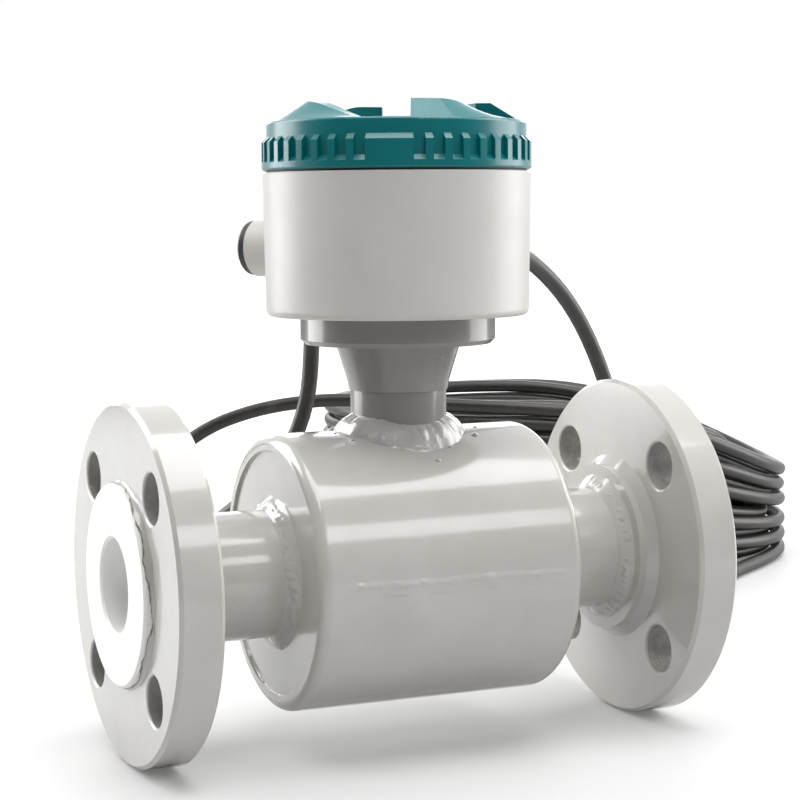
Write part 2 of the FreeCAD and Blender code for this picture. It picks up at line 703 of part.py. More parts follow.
# ---------------------------------------------------------------- terminal board
standoffs = []
board_screws = []
screw_ways = [rod("board_wire_way", S.bundle_radius + S.bundle_room, board_height - 1, board_top + 1,
                  stand(y=S.bundle_reach.value))]
for i, place in enumerate(around(S.standoff_circle, 45, 4)):
    foot = board_height - 4
    standoffs.append(turned("standoff_%d" % i, [
        (ZERO, floor_top), (S.standoff_radius, floor_top), (S.standoff_radius, board_height),
        (S.board_screw_radius + S.fit_gap, board_height), (S.board_screw_radius + S.fit_gap, foot - 0.2),
        (ZERO, foot - 0.2),
    ], "V_Axis"))
    standoffs[-1].Placement = place
    board_screws.append(turned("board_screw_%d" % i, [
        (ZERO, foot), (S.board_screw_radius, foot), (S.board_screw_radius, board_top),
        (S.board_screw_radius * 1.9, board_top), (S.board_screw_radius * 1.9, board_top + 1.6),
        (ZERO, board_top + 1.6),
    ], "V_Axis"))
    board_screws[-1].Placement = place
    screw_ways.append(rod("board_hole_%d" % i, S.board_screw_radius + S.fit_gap, board_height - 1,
                          board_top + 1, place))
blank = rod("board_blank", S.board_radius, board_height, board_top)
keep("terminal_board", cut("terminal_board", blank, fuse("board_holes", screw_ways), HEAD_PLACE))
keep("board_standoffs", together("board_standoffs", standoffs, HEAD_PLACE))
keep("board_screws", together("board_screws", board_screws, HEAD_PLACE))

block_top = board_top + S.block_height
for block_name, front, count in (("signal_terminals", 0.0, S.signal_count),
                                 ("coil_terminals", -S.coil_block_back.value, S.coil_count)):
    ways = int(count.value)
    corner = stand(-S.block_length.value / 2, front, board_top.value)
    blank = box(block_name + "_blank", S.block_length, S.block_depth, S.block_height, corner)
    recesses = []
    for i in range(ways):
        x = S.block_length.value * ((i + 0.5) / ways - 0.5)
        recesses.append(rod("%s_recess_%d" % (block_name, i), S.block_screw_radius, block_top - S.block_screw_deep,
                            block_top + 1, stand(x, front + S.block_depth.value / 2)))
    keep(block_name, cut(block_name, blank, fuse(block_name + "_recesses", recesses), HEAD_PLACE))

keep("wire_bundle", rod("wire_bundle", S.bundle_radius, yoke_outer + S.loose_gap, board_height - S.loose_gap))

# ---------------------------------------------------------------- screw cover
cover_foot = head_shoulder + S.seal_thick
cover_top = cover_foot + S.cover_height
ring_top = cover_foot + S.cover_ring_height
ring_bevel = S.cover_ring_radius - S.cover_band_radius
cover_bore = S.thread_radius + S.thread_gap
cover_body = turned("cover_turned", [
    (cover_bore, cover_foot), (S.cover_ring_radius - S.cover_lip, cover_foot),
    (S.cover_ring_radius, cover_foot + S.cover_lip), (S.cover_ring_radius, ring_top - ring_bevel),
    (S.cover_band_radius, ring_top), (S.cover_band_radius, cover_top), (ZERO, cover_top),
    (ZERO, cover_top - S.cover_roof), (cover_bore, cover_top - S.cover_roof),
], "V_Axis")
dressed(cover_body, "Fillet", "cover_top_round", S.cover_edge, [(S.cover_band_radius, Z_AXIS, cover_top)])

# one slot, open at its top with a sloping foot, then nine in a quarter and four quarters
slot_foot = cover_foot + S.slot_foot
slot_sketch = flat_sketch(cover_body, "slot_profile", "XZ_Plane")
outline(slot_sketch, [
    (S.cover_band_radius, slot_foot + S.slot_ledge), (S.cover_ring_radius, slot_foot),
    (S.cover_ring_radius + 1, slot_foot), (S.cover_ring_radius + 1, ring_top + 1),
    (S.cover_band_radius, ring_top + 1),
])
slot = cover_body.newObject("PartDesign::Pocket", "slot")
slot.Profile = slot_sketch
slot.Midplane = True
bind(slot, Length=S.slot_width)
cover_body.Tip = slot
doc.recompute()
cover_before = slot.BaseFeature.Shape.Volume
one_slot = cover_before - slot.Shape.Volume
if one_slot < 5:
    raise ValueError("the slot cuts nothing")
pattern = cover_body.newObject("PartDesign::MultiTransform", "slot_rings")
pitch = Length(360.0, "360") / S.slot_steps
steps = []
for step_name, angle, count in (("run", pitch * (S.slot_run - 1), S.slot_run), ("quarters", Length.of(360), 4)):
    step = cover_body.newObject("PartDesign::PolarPattern", "slot_" + step_name)
    step.Axis = (origin_plane(cover_body, "Z_Axis"), [""])
    step.setExpression("Angle", angle.text)
    step.setExpression("Occurrences", Length.of(count).text)
    steps.append(step)
pattern.Originals = [slot]
pattern.Transformations = steps
cover_body.Tip = pattern
doc.recompute()
slots_cut = (cover_before - pattern.Shape.Volume) / one_slot
print("slots cut in the grip ring: %.2f" % slots_cut)
if abs(slots_cut - 4 * S.slot_run.value) > 0.1:
    raise ValueError("wrong number of slots")
# a plain pad's middle stands one and a half steps before the first slot and faces forward
cover_body.Placement = stand(rotation=Rotation(Z_AXIS, 1.5 * pitch.value + S.grip_turn.value))


def swirl_grip():
    """One swirl grip: a ring piece on the flat top with a steep start wall, a flat crest and a long falling ramp."""
    inner, crest, outer = S.wedge_inner_radius.value, S.wedge_crest_radius.value, S.wedge_outer_radius.value
    top = cover_top.value
    foot = top - 1.5
    flat = S.wedge_flat.value
    steps = 12
    stations = [0.0, flat * 0.5] + [flat + S.wedge_ramp.value * i / steps for i in range(steps + 1)]
    profiles = []
    for angle in stations:
        share = min(1.0, max(0.0, (angle - flat) / S.wedge_ramp.value))
        # the ramp leaves the crest gently and runs out almost straight
        rise = S.wedge_rise.value * (1 - share) * (1 + share * (1 - share)) - 0.05
        out = Vector(math.cos(math.radians(angle)), math.sin(math.radians(angle)), 0)
        section = [(inner, foot), (outer, foot), (outer, top - 0.05), (crest, top + rise), (inner, top + rise)]
        corners = [out * r + Z_AXIS * h for r, h in section]
        profiles.append(Part.makePolygon(corners + corners[:1]))
    grip = Part.makeLoft(profiles, True, True)
    # the start wall stands beside the channel, half its width from the centre plane
    reach = 2 * outer
    side = Part.makeBox(2 * reach, reach, reach, Vector(-reach, S.channel_half_width.value - reach, foot - 5))
    return grip.cut(side)


grips = [solid_feature("swirl_grip_%d" % i, swirl_grip(), stand(rotation=Rotation(Z_AXIS, 90 * i))) for i in range(4)]
keep("cover", fuse("cover", [cover_body] + grips, HEAD_PLACE))
keep("cover_seal", ring("cover_seal", cover_bore, S.head_top_radius - S.seal_inset, head_shoulder, cover_foot))

# ---------------------------------------------------------------- cable glands and blanking plug
hex_end = S.boss_reach + S.gland_hex_thick
collet_end = hex_end + S.collet_length
seal_end = collet_end + S.gland_seal_rise
nut_foot = hex_end + S.loose_gap
nut_waist = nut_foot + S.gland_nut_hex_length
nut_end = nut_foot + S.gland_nut_length
cable_way = S.cable_radius + S.fit_gap
thread = S.entry_radius - S.fit_gap

for entry_name, degrees in ENTRIES[:2]:
    place = HEAD_PLACE * entry_place(degrees)
    start = S.boss_reach - S.gland_thread_length
    seal_start = S.gland_seal_start - S.fit_gap
    sleeve = turned("gland_sleeve_" + entry_name, [
        (S.gland_lip, start), (thread - 1, start), (thread, start + 1), (thread, S.boss_reach),
        (S.collet_radius, S.boss_reach), (S.collet_radius, collet_end), (S.gland_bore, collet_end),
        (S.gland_bore, seal_start), (S.gland_lip, seal_start),
    ], "V_Axis")
    grip = hexagon("gland_hex_" + entry_name, S.gland_hex, S.boss_reach, hex_end)
    room = rod("gland_room_" + entry_name, S.gland_bore + 0.5, S.boss_reach - 1, hex_end + 1)
    grip_ring = cut("gland_hex_ring_" + entry_name, grip, room)
    keep("gland_body_" + entry_name, fuse("gland_body_" + entry_name, [sleeve, grip_ring], place))

    keep("gland_seal_" + entry_name, ring("gland_seal_" + entry_name, cable_way, S.gland_bore - S.fit_gap * 2,
                                          S.gland_seal_start, seal_end, place))

    outer = S.gland_nut_hex
    mouth = S.gland_mouth_radius
    rise = nut_end - nut_waist
    inner = S.collet_radius + S.loose_gap
    throat = S.gland_bore + 0.2
    dome = turned("gland_dome_" + entry_name, [
        (inner, nut_foot), (outer, nut_foot), (outer, nut_waist),
        (mouth + (outer - mouth) * 0.92, nut_waist + rise * 0.3), (mouth + (outer - mouth) * 0.7, nut_waist + rise * 0.6),
        (mouth + (outer - mouth) * 0.36, nut_waist + rise * 0.85), (mouth, nut_end),
        (cable_way + S.loose_gap, nut_end), (cable_way + S.loose_gap, seal_end + S.loose_gap),
        (throat, seal_end + S.loose_gap), (throat, collet_end + S.loose_gap), (inner, collet_end + S.loose_gap),
    ], "V_Axis")
    grip = hexagon("nut_hex_" + entry_name, outer, nut_foot, nut_waist)
    room = rod("nut_room_" + entry_name, inner + 0.5, nut_foot - 1, nut_waist + 1)
    grip_ring = cut("nut_hex_ring_" + entry_name, grip, room)
    keep("gland_nut_" + entry_name, fuse("gland_nut_" + entry_name, [dome, grip_ring], place))

    keep("inner_cable_" + entry_name, rod("inner_cable_" + entry_name, S.cable_radius, S.tail_inner_radius,
                                          nut_end, place))

place = HEAD_PLACE * entry_place(ENTRIES[2][1])
plug_start = S.boss_reach - S.plug_thread_length
plug_end = S.boss_reach + S.plug_thick
plug = turned("blanking_plug", [
    (ZERO, plug_start), (thread, plug_start), (thread, S.boss_reach), (S.plug_radius, S.boss_reach),
    (S.plug_radius, plug_end), (ZERO, plug_end),
], "V_Axis")
dressed(plug, "Fillet", "plug_edge", S.plug_round, [(S.plug_radius, Z_AXIS, plug_end)])
keep("blanking_plug", placed(plug, place))

# ---------------------------------------------------------------- free cables and their coils
floor_level = -S.flange_radius.value
lower_top = floor_level + S.coil_stack.value
upper_foot = lower_top + S.loose_gap.value
upper_top = upper_foot + S.coil_stack_top.value
coil_place = stand(S.coil_place_x.value, S.coil_place_y.value, 0, Rotation(Z_AXIS, S.coil_turn.value))


def oval_prism(wide, deep, low, high):
    """An upright oval cylinder."""
    rim = Part.Ellipse(Vector(0, 0, low), wide, deep)
    return Part.Face(Part.Wire(rim.toShape())).extrude(Z_AXIS * (high - low))


def coil_solid(low, high):
    """The outer shape of one cable coil: an oval ring."""
    wide = S.coil_wide.value
    deep = S.coil_deep.value
    band = S.coil_band.value
    return oval_prism(wide, deep, low, high).cut(oval_prism(wide - band, deep - band, low - 1, high + 1))


def by_coil(*points):
    """Points given along and across the coils' long axis, in the row frame."""
    return [tuple(coil_place.multVec(Vector(*p))) for p in points]


RIGHT_ROUTE = [
    (79.1, 83.4, 106), (107, 105, 98), (132, 118, 79), (151, 126, 50), (167, 134, 10), (182, 143, -28),
    (203, 158, -51), (236, 178, -55.2), (268, 206, -55.2), (303, 230, -55.2),
]
LEFT_ROUTE = [
    (13.7, 104.1, 106), (17, 124, 101), (20, 139, 87), (22, 146, 65), (22, 149, 38), (14, 160, 12),
    (1, 183, -8), (-13, 213, -30), (-25, 249, -50), (-23, 287, -55), (-7, 318, -38), (17, 331, -9),
    (41, 329, 10), (66, 317, 20), (91, 301.5, 25.0), (113, 285, 25.9), (141, 262, 25.4),
]
RIGHT_TAIL = by_coil((0, 84, -55.2), (-28, 78, -55.2), (-52, 64, -55.2), (-64, 42, -55.2), (-62, 18, -55.2))
LEFT_TAIL = by_coil((46, -75.5, 25.4), (70, -62, 23.5), (84, -36, 12), (82, -12, -2), (72, 8, -24), (61, 19, -45),
                    (46, 27, -55.2), (24, 30, -55.2), (4, 29, -55.2))
CORNER_SHARE = 0.45


def routed_tube(name, points, radius):
    """A round tube along straight runs joined by arcs that touch both runs."""
    points = [Vector(*p) for p in points]
    edges = []
    here = points[0]
    for i in range(1, len(points) - 1):
        before = points[i] - points[i - 1]
        after = points[i + 1] - points[i]
        turn = before.getAngle(after)
        reach = CORNER_SHARE * min(before.Length, after.Length)
        bend = reach / math.tan(turn / 2)
        before.normalize()
        after.normalize()
        enter = points[i] - before * reach
        leave = points[i] + after * reach
        inward = (after - before).normalize()
        centre = points[i] + inward * math.hypot(bend, reach)
        middle = centre - inward * bend
        edges.append(Part.LineSegment(here, enter).toShape())
        edges.append(Part.Arc(enter, middle, leave).toShape())
        here = leave
        print("%s corner %d: radius %.1f mm, turn %.0f degrees" % (name, i, bend, math.degrees(turn)))
    edges.append(Part.LineSegment(here, points[-1]).toShape())
    path = Part.Wire(edges)
    start = Part.Circle(points[0], points[1] - points[0], radius)
    tube = path.makePipeShell([Part.Wire(start.toShape())], True, False)
    expected = math.pi * radius ** 2 * path.Length
    print("%s: length %.1f mm, volume %.0f of %.0f" % (name, path.Length, tube.Volume, expected))
    if abs(tube.Volume - expected) > 0.01 * expected:
        raise ValueError(name + " has the wrong volume")
    return tube


def exit_point(degrees):
    """The middle of a gland's mouth, where its cable leaves."""
    way = HEAD_PLACE * entry_place(degrees)
    return way.multVec(Z_AXIS * nut_end.value)


coils = {}
for coil_name, low, high in (("right", floor_level, lower_top), ("left", upper_foot, upper_top)):
    coil = coil_solid(low, high)
    coil.Placement = coil_place
    coils[coil_name] = coil
    keep("cable_coil_" + coil_name, solid_feature("cable_coil_" + coil_name, coil))

for cable_name, degrees, route, tail in (("right", S.entry_angle.value, RIGHT_ROUTE, RIGHT_TAIL),
                                         ("left", -S.entry_angle.value, LEFT_ROUTE, LEFT_TAIL)):
    mouth = exit_point(degrees)
    print("cable_%s leaves at %.2f, %.2f, %.2f" % (cable_name, mouth.x, mouth.y, mouth.z))
    lead = routed_tube("cable_" + cable_name, [tuple(mouth)] + route, S.cable_radius.value)
    lead = lead.cut(coils["right"]).cut(coils["left"])
    keep("cable_" + cable_name, solid_feature("cable_" + cable_name, lead))
    last = routed_tube("cable_tail_" + cable_name, tail, S.cable_radius.value)
    last = last.cut(coils["right"]).cut(coils["left"])
    keep("cable_tail_" + cable_name, solid_feature("cable_tail_" + cable_name, last))
    # stripped end: a shrink sleeve with three cores in crimped ferrules
    end = Vector(*tail[-1])
    run = (end - Vector(*tail[-2])).normalize()
    sleeve = Part.makeCylinder(S.sleeve_radius.value, S.sleeve_length.value, end, run)
    across = run.cross(Z_AXIS).normalize()
    for offset in (-1.9, 0.0, 1.9):
        foot = end + run * (S.sleeve_length.value - 1) + across * offset
        sleeve = sleeve.fuse(Part.makeCylinder(S.ferrule_radius.value, S.ferrule_length.value, foot, run))
    keep("cable_end_" + cable_name, solid_feature("cable_end_" + cable_name, sleeve.removeSplitter()))

# ---------------------------------------------------------------- checks and files
doc.recompute()
for item in doc.Objects:
    if "Invalid" in item.State or "Error" in item.State:
        raise ValueError("%s failed: %s" % (item.Label, item.State))
total = 0
for name, item in nodes.items():
    shape = item.Shape
    if shape.isNull() or not shape.isValid() or not shape.Solids:
        raise ValueError("%s has no valid solid" % name)
    total += len(shape.Solids)

os.makedirs("parts", exist_ok=True)
for name, item in nodes.items():
    item.Shape.exportStep("parts/%s.step" % name)
print("%d nodes, %d solids" % (len(nodes), total))
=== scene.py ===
"""Electromagnetic flow meter: finishes, weld beads, cables and studio on the fixed frame of its solids."""
import logging
import math
from dataclasses import dataclass, field
from enum import Enum
from typing import Any, Callable

import bpy
from mathutils import Matrix, Vector, noise


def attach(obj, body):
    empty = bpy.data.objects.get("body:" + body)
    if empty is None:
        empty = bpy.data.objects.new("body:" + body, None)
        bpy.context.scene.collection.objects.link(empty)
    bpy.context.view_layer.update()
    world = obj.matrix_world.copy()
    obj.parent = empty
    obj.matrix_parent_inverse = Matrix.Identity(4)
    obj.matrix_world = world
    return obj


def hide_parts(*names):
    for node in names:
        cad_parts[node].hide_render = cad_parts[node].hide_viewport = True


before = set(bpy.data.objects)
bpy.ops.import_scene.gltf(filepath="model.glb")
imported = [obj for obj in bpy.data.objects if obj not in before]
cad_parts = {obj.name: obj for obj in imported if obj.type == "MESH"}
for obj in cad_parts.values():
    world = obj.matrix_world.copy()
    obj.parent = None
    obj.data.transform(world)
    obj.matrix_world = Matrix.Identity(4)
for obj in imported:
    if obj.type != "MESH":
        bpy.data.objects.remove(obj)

LOG = logging.getLogger("flow_meter")
MM = 0.001
FULL_TURN = 360.0
Point = tuple[float, float, float]
Colour = tuple[float, float, float]


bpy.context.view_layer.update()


# ------------------------------------------------------------------ shader maths
class Value:
    """A value socket; Python's operators on it add Math nodes."""

    def __init__(self, graph: "Graph", socket: bpy.types.NodeSocket) -> None:
        """Keep the socket and the graph that it belongs to."""
        self.graph = graph
        self.socket = socket

    def _with(self, operation: str, *others: Any) -> "Value":
        """Add one Math node of that operation, with its inputs in order."""
        return self.graph.node("ShaderNodeMath", {"operation": operation}, dict(enumerate(others)))

    def __add__(self, other: Any) -> "Value":
        """Add."""
        return self._with("ADD", self, other)

    def __sub__(self, other: Any) -> "Value":
        """Subtract."""
        return self._with("SUBTRACT", self, other)

    def __rsub__(self, other: Any) -> "Value":
        """Subtract this from other."""
        return self._with("SUBTRACT", other, self)

    def __mul__(self, other: Any) -> "Value":
        """Multiply."""
        return self._with("MULTIPLY", self, other)

    __radd__ = __add__
    __rmul__ = __mul__

    def above(self, limit: float, width: float) -> "Value":
        """Make a soft step from 0 to 1.

        Args:
            limit: where the step's middle lies.
            width: how wide the step is.

        Returns:
            The step.
        """
        settings = {"interpolation_type": "SMOOTHSTEP", "clamp": True}
        ends = {0: self, 1: limit - width / 2, 2: limit + width / 2}
        return self.graph.node("ShaderNodeMapRange", settings, ends)

    def sine(self) -> "Value":
        """Return the sine."""
        return self._with("SINE", self)

    def size(self) -> "Value":
        """Return the absolute value."""
        return self._with("ABSOLUTE", self)

    def root(self) -> "Value":
        """Return the square root."""
        return self._with("SQRT", self)

    def most(self, other: Any) -> "Value":
        """Return the larger of two values."""
        return self._with("MAXIMUM", self, other)

    def angle(self, across: "Value") -> "Value":
        """Return the angle whose tangent is this over across."""
        return self._with("ARCTAN2", self, across)


class Graph:
    """A node tree and the one method that adds its nodes."""

    def __init__(self, tree: bpy.types.NodeTree) -> None:
        """Keep the tree."""
        self.tree = tree

    def node(self, kind: str, settings: dict[str, Any] | None = None, inputs: dict[Any, Any] | None = None,
             output: int | str = 0) -> Value:
        """Add a node.

        Args:
            kind: the node's type.
            settings: its settings, set before its inputs.
            inputs: numbers, colours or results for its sockets, by name or number.
            output: the output that is returned.

        Returns:
            The chosen output.
        """
        made = self.tree.nodes.new(kind)
        for name, value in (settings or {}).items():
            setattr(made, name, value)
        for name, value in (inputs or {}).items():
            self.feed(made.inputs[name], value)
        return Value(self, made.outputs[output])

    def feed(self, socket: bpy.types.NodeSocket, value: Any) -> None:
        """Link a result to a socket, or set a constant on it.

        Args:
            socket: the input.
            value: a Value, a number, a vector or a colour.
        """
        if isinstance(value, Value):
            self.tree.links.new(value.socket, socket)
        elif isinstance(value, tuple) and len(value) == 3 and len(socket.default_value) == 4:
            socket.default_value = (*value, 1.0)
        else:
            socket.default_value = value

    def place(self) -> Value:
        """Return the place on the object, in metres."""
        return self.node("ShaderNodeTexCoord", output="Object")

    def axes(self, place: Value) -> tuple[Value, Value, Value]:
        """Part a place into its three numbers.

        Args:
            place: the place.

        Returns:
            Its X, Y and Z.
        """
        split = self.node("ShaderNodeSeparateXYZ", inputs={0: place})
        outputs = split.socket.node.outputs
        return tuple(Value(self, outputs[i]) for i in range(3))

    def ray(self, kind: str) -> Value:
        """Return 1 for rays of one kind, such as Camera, and 0 for others."""
        return self.node("ShaderNodeLightPath", output="Is %s Ray" % kind)

    def noise(self, place: Value, cell: float, detail: float = 3.0, rough: float = 0.5) -> Value:
        """Make soft noise from 0 to 1.

        Args:
            place: where it is read.
            cell: the size of its cells, in millimetres.
            detail: its octaves.
            rough: the share of each finer octave.

        Returns:
            The noise.
        """
        inputs = {"Vector": place, "Scale": 1.0 / (cell * MM), "Detail": detail, "Roughness": rough}
        return self.node("ShaderNodeTexNoise", {"noise_dimensions": "3D"}, inputs)

    def dots(self, place: Value, spacing: float, reach: float) -> Value:
        """Make scattered dots.

        Args:
            place: where they are read.
            spacing: how far apart they lie, in millimetres.
            reach: a dot's radius as a share of the spacing.

        Returns:
            1 inside a dot, 0 outside.
        """
        inputs = {"Vector": place, "Scale": 1.0 / (spacing * MM)}
        return 1.0 - self.node("ShaderNodeTexVoronoi", {"feature": "F1"}, inputs).above(reach, 0.05)

    def mix(self, share: Any, first: Any, second: Any) -> Value:
        """Return the first colour mixed with a share of the second."""
        return self.node("ShaderNodeMix", {"data_type": "RGBA"}, {0: share, 6: first, 7: second}, 2)

    def blend(self, share: Any, first: Any, second: Any) -> Value:
        """Return the first number mixed with a share of the second."""
        return self.node("ShaderNodeMix", {}, {0: share, 2: first, 3: second})


class MaterialGraph(Graph):
    """The node tree of one material."""

    def __init__(self, name: str) -> None:
        """Make an empty material.

        Args:
            name: the material's name.
        """
        self.material = bpy.data.materials.new(name)
        self.material.use_nodes = True
        super().__init__(self.material.node_tree)
        self.tree.nodes.clear()
        self.shader = self.tree.nodes.new("ShaderNodeBsdfPrincipled")
        output = self.tree.nodes.new("ShaderNodeOutputMaterial")
        self.tree.links.new(self.shader.outputs[0], output.inputs[0])

    def dress(self, **sockets: Any) -> None:
        """Set the shader's sockets, by name with _ for a space."""
        for name, value in sockets.items():
            self.feed(self.shader.inputs[name.replace("_", " ")], value)


# ------------------------------------------------------------------ finishes
class Sheen(Enum):
    """How glossy a finish is: its roughness and how much that varies."""

    GLOSS = (0.16, 0.08)
    SEMI_GLOSS = (0.26, 0.10)
    SATIN = (0.38, 0.12)
    MATT = (0.58, 0.14)


@dataclass(frozen=True)
class Surface:
    """What a finish is at each place: its tone, its roughness and its relief in metres."""

    tone: Value
    rough: Value
    relief: Value


@dataclass(frozen=True)
class Finish:
    """A painted, moulded or plain surface with its grain, tone and wear.

    Sizes are in millimetres.
    """

    name: str
    colour: Colour
    shade: Colour
    sheen: Sheen = Sheen.SATIN
    metallic: float = 0.0
    coat: float = 0.0
    coat_rough: float = 0.08
    grain: float = 0.5
    grain_depth: float = 0.01
    wave: float = 12.0
    wave_depth: float = 0.04
    speck: float = 0.0
    speck_spacing: float = 3.1
    speck_patch: float = 9.0

    def base(self, graph: Graph, place: Value) -> Surface:
        """Make tone, roughness and relief.

        Args:
            graph: the material's nodes.
            place: the place on the object.

        Returns:
            The plain surface.
        """
        broad = graph.noise(place, self.wave * 3.0, 4.0, 0.55)
        fine = graph.noise(place, self.grain, 2.0, 0.6)
        wave = graph.noise(place, self.wave, 2.0, 0.4)
        tone = graph.mix(broad.above(0.5, 0.5), self.colour, self.shade)
        if self.speck:
            dot = graph.dots(place, self.speck_spacing, 0.10)
            rare = graph.noise(place, self.speck_patch, 1.0).above(0.60, 0.08)
            tone = graph.mix(dot * rare * self.speck, tone, tuple(c * 0.45 for c in self.colour))
        low, spread = self.sheen.value
        rough = low - spread / 2 + broad * (spread / 2) + fine * (spread / 2)
        relief = fine * (self.grain_depth * MM) + wave * (self.wave_depth * MM)
        return Surface(tone, rough, relief)

    def extra(self, graph: Graph, place: Value, plain: Surface) -> Surface:
        """Return the plain surface; a kind of finish adds its own marks here."""
        return plain

    def make(self) -> bpy.types.Material:
        """Build the material.

        Returns:
            The finished material.
        """
        graph = MaterialGraph(self.name)
        place = graph.place()
        surface = self.extra(graph, place, self.base(graph, place))
        relief = {"Height": surface.relief, "Distance": 1.0, "Strength": 1.0}
        normal = graph.node("ShaderNodeBump", inputs=relief)
        graph.dress(Base_Color=surface.tone, Roughness=surface.rough, Metallic=self.metallic, Normal=normal)
        if self.coat:
            graph.dress(Coat_Weight=self.coat, Coat_Roughness=self.coat_rough)
        return graph.material


@dataclass(frozen=True)
class Threaded(Finish):
    """A finish whose lower or upper stretch carries a screw thread about the head's axis."""

    foot: float = 0.0
    top: float = 0.0
    reach: float = 0.0
    pitch: float = 2.0
    depth: float = 0.45
    run_out: float = 0.5
    edge: float = 0.2

    def extra(self, graph: Graph, place: Value, plain: Surface) -> Surface:
        """Cut the thread between foot and top, inside reach from the axis.

        Args:
            graph: the material's nodes.
            place: the place on the object.
            plain: the surface without the thread.

        Returns:
            The surface with it.
        """
        x, y, z = graph.axes(place)
        turn = y.angle(x) * (1.0 / (2.0 * math.pi))
        rise = (z * (1.0 / (self.pitch * MM)) - turn) * (2.0 * math.pi)
        inside = 1.0 - ((x * x + y * y).root()).above(self.reach * MM, self.edge * MM)
        run_out = self.run_out * MM
        band = z.above(self.foot * MM, run_out) * (1.0 - z.above(self.top * MM, run_out)) * inside
        return Surface(plain.tone, plain.rough, plain.relief + rise.sine() * band * (self.depth * MM))


@dataclass(frozen=True)
class SteelPaint(Finish):
    """Thick light paint over welded steel: faint runs, pinholes, and thin rough paint in the bolt holes,
    darkened there with painted shade.
    """

    runs: float = 34.0
    runs_depth: float = 0.10
    pit_spacing: float = 5.0
    pit_patch: float = 14.0
    pit_depth: float = 0.05
    pit_colour: Colour = (0.40, 0.39, 0.37)
    hole_place: float = 31.43
    hole_radius: float = 8.12
    hole_start: float = 79.0
    hole_grain: float = 2.2
    hole_depth: float = 0.35
    # Bolt-hole wall colour: thin rough paint, made darker with painted shade inside the holes.
    hole_paint_and_shade_colour: Colour = (0.215, 0.205, 0.19)

    def extra(self, graph: Graph, place: Value, plain: Surface) -> Surface:
        """Add slow changes of thickness and small pits, and thin the paint in the bolt holes and darken it
        there with painted shade.

        Args:
            graph: the material's nodes.
            place: the place on the object.
            plain: the surface without them.

        Returns:
            The surface with them.
        """
        slow = graph.noise(place, self.runs, 2.0, 0.5)
        pit = graph.dots(place, self.pit_spacing, 0.07)
        some = graph.noise(place, self.pit_patch, 1.0).above(0.62, 0.06)
        relief = plain.relief + slow * (self.runs_depth * MM) - pit * some * (self.pit_depth * MM)
        x, y, z = graph.axes(place)
        wide, tall = y.size() - self.hole_place * MM, z.size() - self.hole_place * MM
        inside = 1.0 - (wide * wide + tall * tall).root().above(self.hole_radius * MM, 0.25 * MM)
        hole = inside * x.size().above(self.hole_start * MM, 0.5 * MM)
        rough_wall = graph.noise(place, self.hole_grain, 3.0, 0.6)
        tone = graph.mix(pit * some * 0.35, plain.tone, self.pit_colour)
        # Bolt-hole walls darkened: partly thin rough paint, partly painted shade inside the holes.
        tone = graph.mix(hole * (0.45 + rough_wall * 0.5), tone, self.hole_paint_and_shade_colour)
        return Surface(tone, plain.rough + hole * 0.25, relief + rough_wall * hole * (self.hole_depth * MM))


@dataclass(frozen=True)
class WeldPaint(Finish):
    """Paint over a weld bead: overlapping ripples and lumps."""

    lump: float = 3.4
    lump_depth: float = 0.45
    ripple: float = 1.3
    ripple_depth: float = 0.10

    def extra(self, graph: Graph, place: Value, plain: Surface) -> Surface:
        """Add lumps of two sizes.

        Args:
            graph: the material's nodes.
            place: the place on the object.
            plain: the surface without them.

        Returns:
            The surface with them.
        """
        lumps = graph.noise(place, self.lump, 3.0, 0.5) * (self.lump_depth * MM)
        ripples = graph.noise(place, self.ripple, 1.0, 0.4) * (self.ripple_depth * MM)
        return Surface(plain.tone, plain.rough, plain.relief + lumps + ripples)


@dataclass(frozen=True)
class Jacket(Finish):
    """A cable jacket with dusty scuffs."""

    scuff: float = 16.0
    dust: Colour = (0.085, 0.080, 0.076)

    def extra(self, graph: Graph, place: Value, plain: Surface) -> Surface:
        """Add long scuffs."""
        scuffs = graph.noise(place, self.scuff, 6.0, 0.7).above(0.60, 0.10)
        return Surface(graph.mix(scuffs * 0.25, plain.tone, self.dust), plain.rough + scuffs * 0.10,
                       plain.relief)


@dataclass(frozen=True)
class Liner(Finish):
    """White fluoropolymer with soft machining rings round the bore's axis."""

    ring_pitch: float = 0.7
    ring_depth: float = 0.006

    def extra(self, graph: Graph, place: Value, plain: Surface) -> Surface:
        """Add rings about X.

        Args:
            graph: the material's nodes.
            place: the place on the object.
            plain: the surface without them.

        Returns:
            The surface with them.
        """
        x, y, z = graph.axes(place)
        rings = ((y * y + z * z).root() * (2.0 * math.pi / (self.ring_pitch * MM))).sine()
        return Surface(plain.tone, plain.rough, plain.relief + rings * (self.ring_depth * MM))


@dataclass(frozen=True)
class Winding(Finish):
    """Enamelled wire wound about Z."""

    wire: float = 0.6
    wire_depth: float = 0.12

    def extra(self, graph: Graph, place: Value, plain: Surface) -> Surface:
        """Add the turns of wire."""
        turns = (graph.axes(place)[2] * (2.0 * math.pi / (self.wire * MM))).sine()
        return Surface(plain.tone, plain.rough, plain.relief + turns * (self.wire_depth * MM))


PAINT = SteelPaint("body_paint", (0.55, 0.54, 0.515), (0.51, 0.50, 0.475), Sheen.GLOSS, coat=0.6,
                   coat_rough=0.09, grain=1.1, grain_depth=0.013, wave=7.0, wave_depth=0.04)
